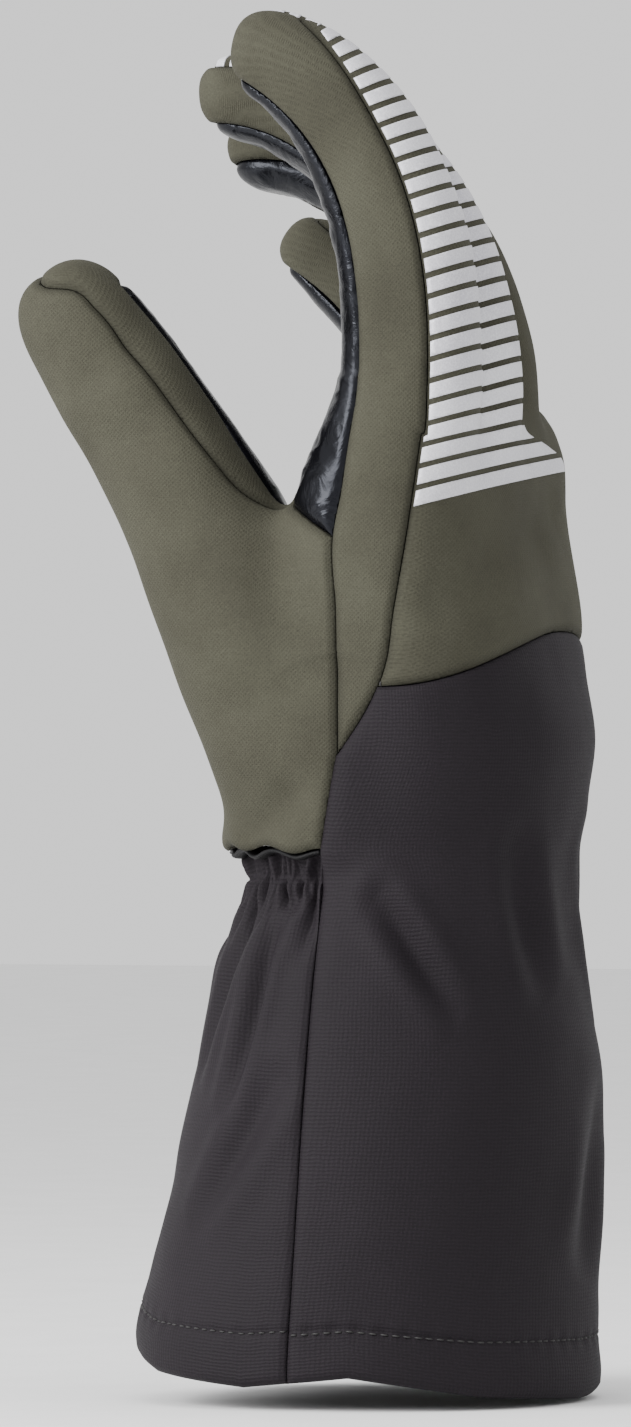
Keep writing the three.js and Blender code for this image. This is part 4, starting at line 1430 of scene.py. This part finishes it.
def film_look():
    """Silvery white film, matt with a slight sparkle"""
    look = Look("reflective_film_stripe", (215, 215, 220), 0.42, metallic=0.15, specular_ior_level=0.6)
    beads, broad = look.cells(2600), look.noise(26, 3)
    mixed = look.total((beads, 0.35), (broad, 0.8))
    tone = look.tone(mixed, (0.3, 160, 158, 167), (0.55, 186, 185, 191), (0.8, 205, 205, 209))
    look.set(base_color=tone, roughness=look.span(broad, 0.3, 0.7, 0.34, 0.5))
    look.bump(beads, 0.00006, 0.5)
    return look.material


def lining_look():
    """Short dark fleece inside the glove"""
    look = Look("dark_fleece_lining", (38, 37, 40), 0.95, sheen_weight=0.05, sheen_roughness=0.6,
                specular_ior_level=0.1)
    fleece = look.total((look.noise(900, 5, 0.7), 0.6), (look.noise(160, 3), 0.5))
    look.set(base_color=look.tone(fleece, (0.35, 12, 12, 13), (0.75, 30, 29, 32)))
    look.bump(fleece, 0.0009, 0.8)
    return look.material


def thread_look():
    """Twisted dark sewing thread"""
    look = Look("dark_sewing_thread", (42, 40, 40), 0.6)
    twist = look.noise(5200, 2)
    look.set(base_color=look.tone(twist, (0.35, 14, 13, 13), (0.7, 32, 30, 30)))
    look.bump(twist, 0.0001, 0.7)
    return look.material


def welt_look():
    """Grey-black welt cloth wrapped round a cord"""
    look = Look("grey_black_welt", (52, 51, 54), 0.6, specular_ior_level=0.2)
    cloth = look.total((look.wave(look.cloth()[0], 0.9), 0.12), (look.noise(2800, 3), 1))
    look.set(base_color=look.tone(cloth, (0.3, 7, 7, 8), (0.75, 18, 17, 19)))
    look.bump(cloth, 0.00022, 0.8)
    return look.material


def floor_look():
    """Pale matt floor"""
    look = Look("pale_floor", FLOOR_LIGHT, 0.8)
    look.set(base_color=look.tone(look.noise(40, 3), (0.3, *FLOOR_DARK), (0.7, *FLOOR_LIGHT)))
    return look.material


def camera():
    """The photograph's own view"""
    right, forward = Vector(VIEW_RIGHT), Vector(VIEW_FORWARD)
    target = right * VIEW_SHIFT + Vector((0, 0, VIEW_HEIGHT))
    data = bpy.data.cameras.new("photo_camera")
    data.sensor_width = SENSOR
    data.lens = SENSOR * VIEW_DISTANCE / VIEW_SPAN
    data.clip_end = 100
    piece = bpy.data.objects.new("photo_camera", data)
    piece.location = (target - forward * VIEW_DISTANCE) * MM
    piece.rotation_euler = forward.to_track_quat("-Z", "Y").to_euler()
    bpy.context.scene.collection.objects.link(piece)
    bpy.context.scene.camera = piece


def area_light(name, toward, right, up, size, power):
    """Light placed from the middle of the glove in the camera's directions, and turned to it"""
    middle = Vector((0, 0, LIGHT_HEIGHT))
    place = middle - Vector(VIEW_FORWARD) * toward + Vector(VIEW_RIGHT) * right + Vector((0, 0, up))
    data = bpy.data.lights.new(name, "AREA")
    data.shape = "RECTANGLE"
    data.size, data.size_y = size
    data.energy = power
    light = bpy.data.objects.new(name, data)
    light.location = place
    light.rotation_euler = (middle - place).to_track_quat("-Z", "Y").to_euler()
    bpy.context.scene.collection.objects.link(light)


def studio():
    """Soft even light from all sides with a stronger key, and a pale floor"""
    world = bpy.data.worlds.new("white_room")
    bpy.context.scene.world = world
    world.use_nodes = True
    background = world.node_tree.nodes["Background"]
    background.inputs["Color"].default_value = (1, 1, 1, 1)
    background.inputs["Strength"].default_value = ROOM_LIGHT
    for name, values in LIGHTS.items():
        area_light(name, *values)
    mesh = bpy.data.meshes.new("floor")
    corners = [(x * FLOOR_SIZE, y * FLOOR_SIZE, FLOOR_LEVEL)
               for x, y in ((-1, -1), (1, -1), (1, 1), (-1, 1))]
    mesh.from_pydata(corners, [], [(0, 1, 2, 3)])
    mesh.materials.append(floor_look())
    floor = bpy.data.objects.new("floor", mesh)
    bpy.context.scene.collection.objects.link(floor)


def build():
    looks = {
        "olive": olive_look(), "black": black_look(), "leather": leather_look(), "film": film_look(),
        "lining": lining_look(), "thread": thread_look(), "welt": welt_look(),
    }
    panels = dress_panels(hand_panels(), looks)
    film(panels["hand_back"], looks["film"])
    grids = cuffs(looks)
    welt(looks)
    stitches(panels, grids, looks)
    camera()
    studio()


build()
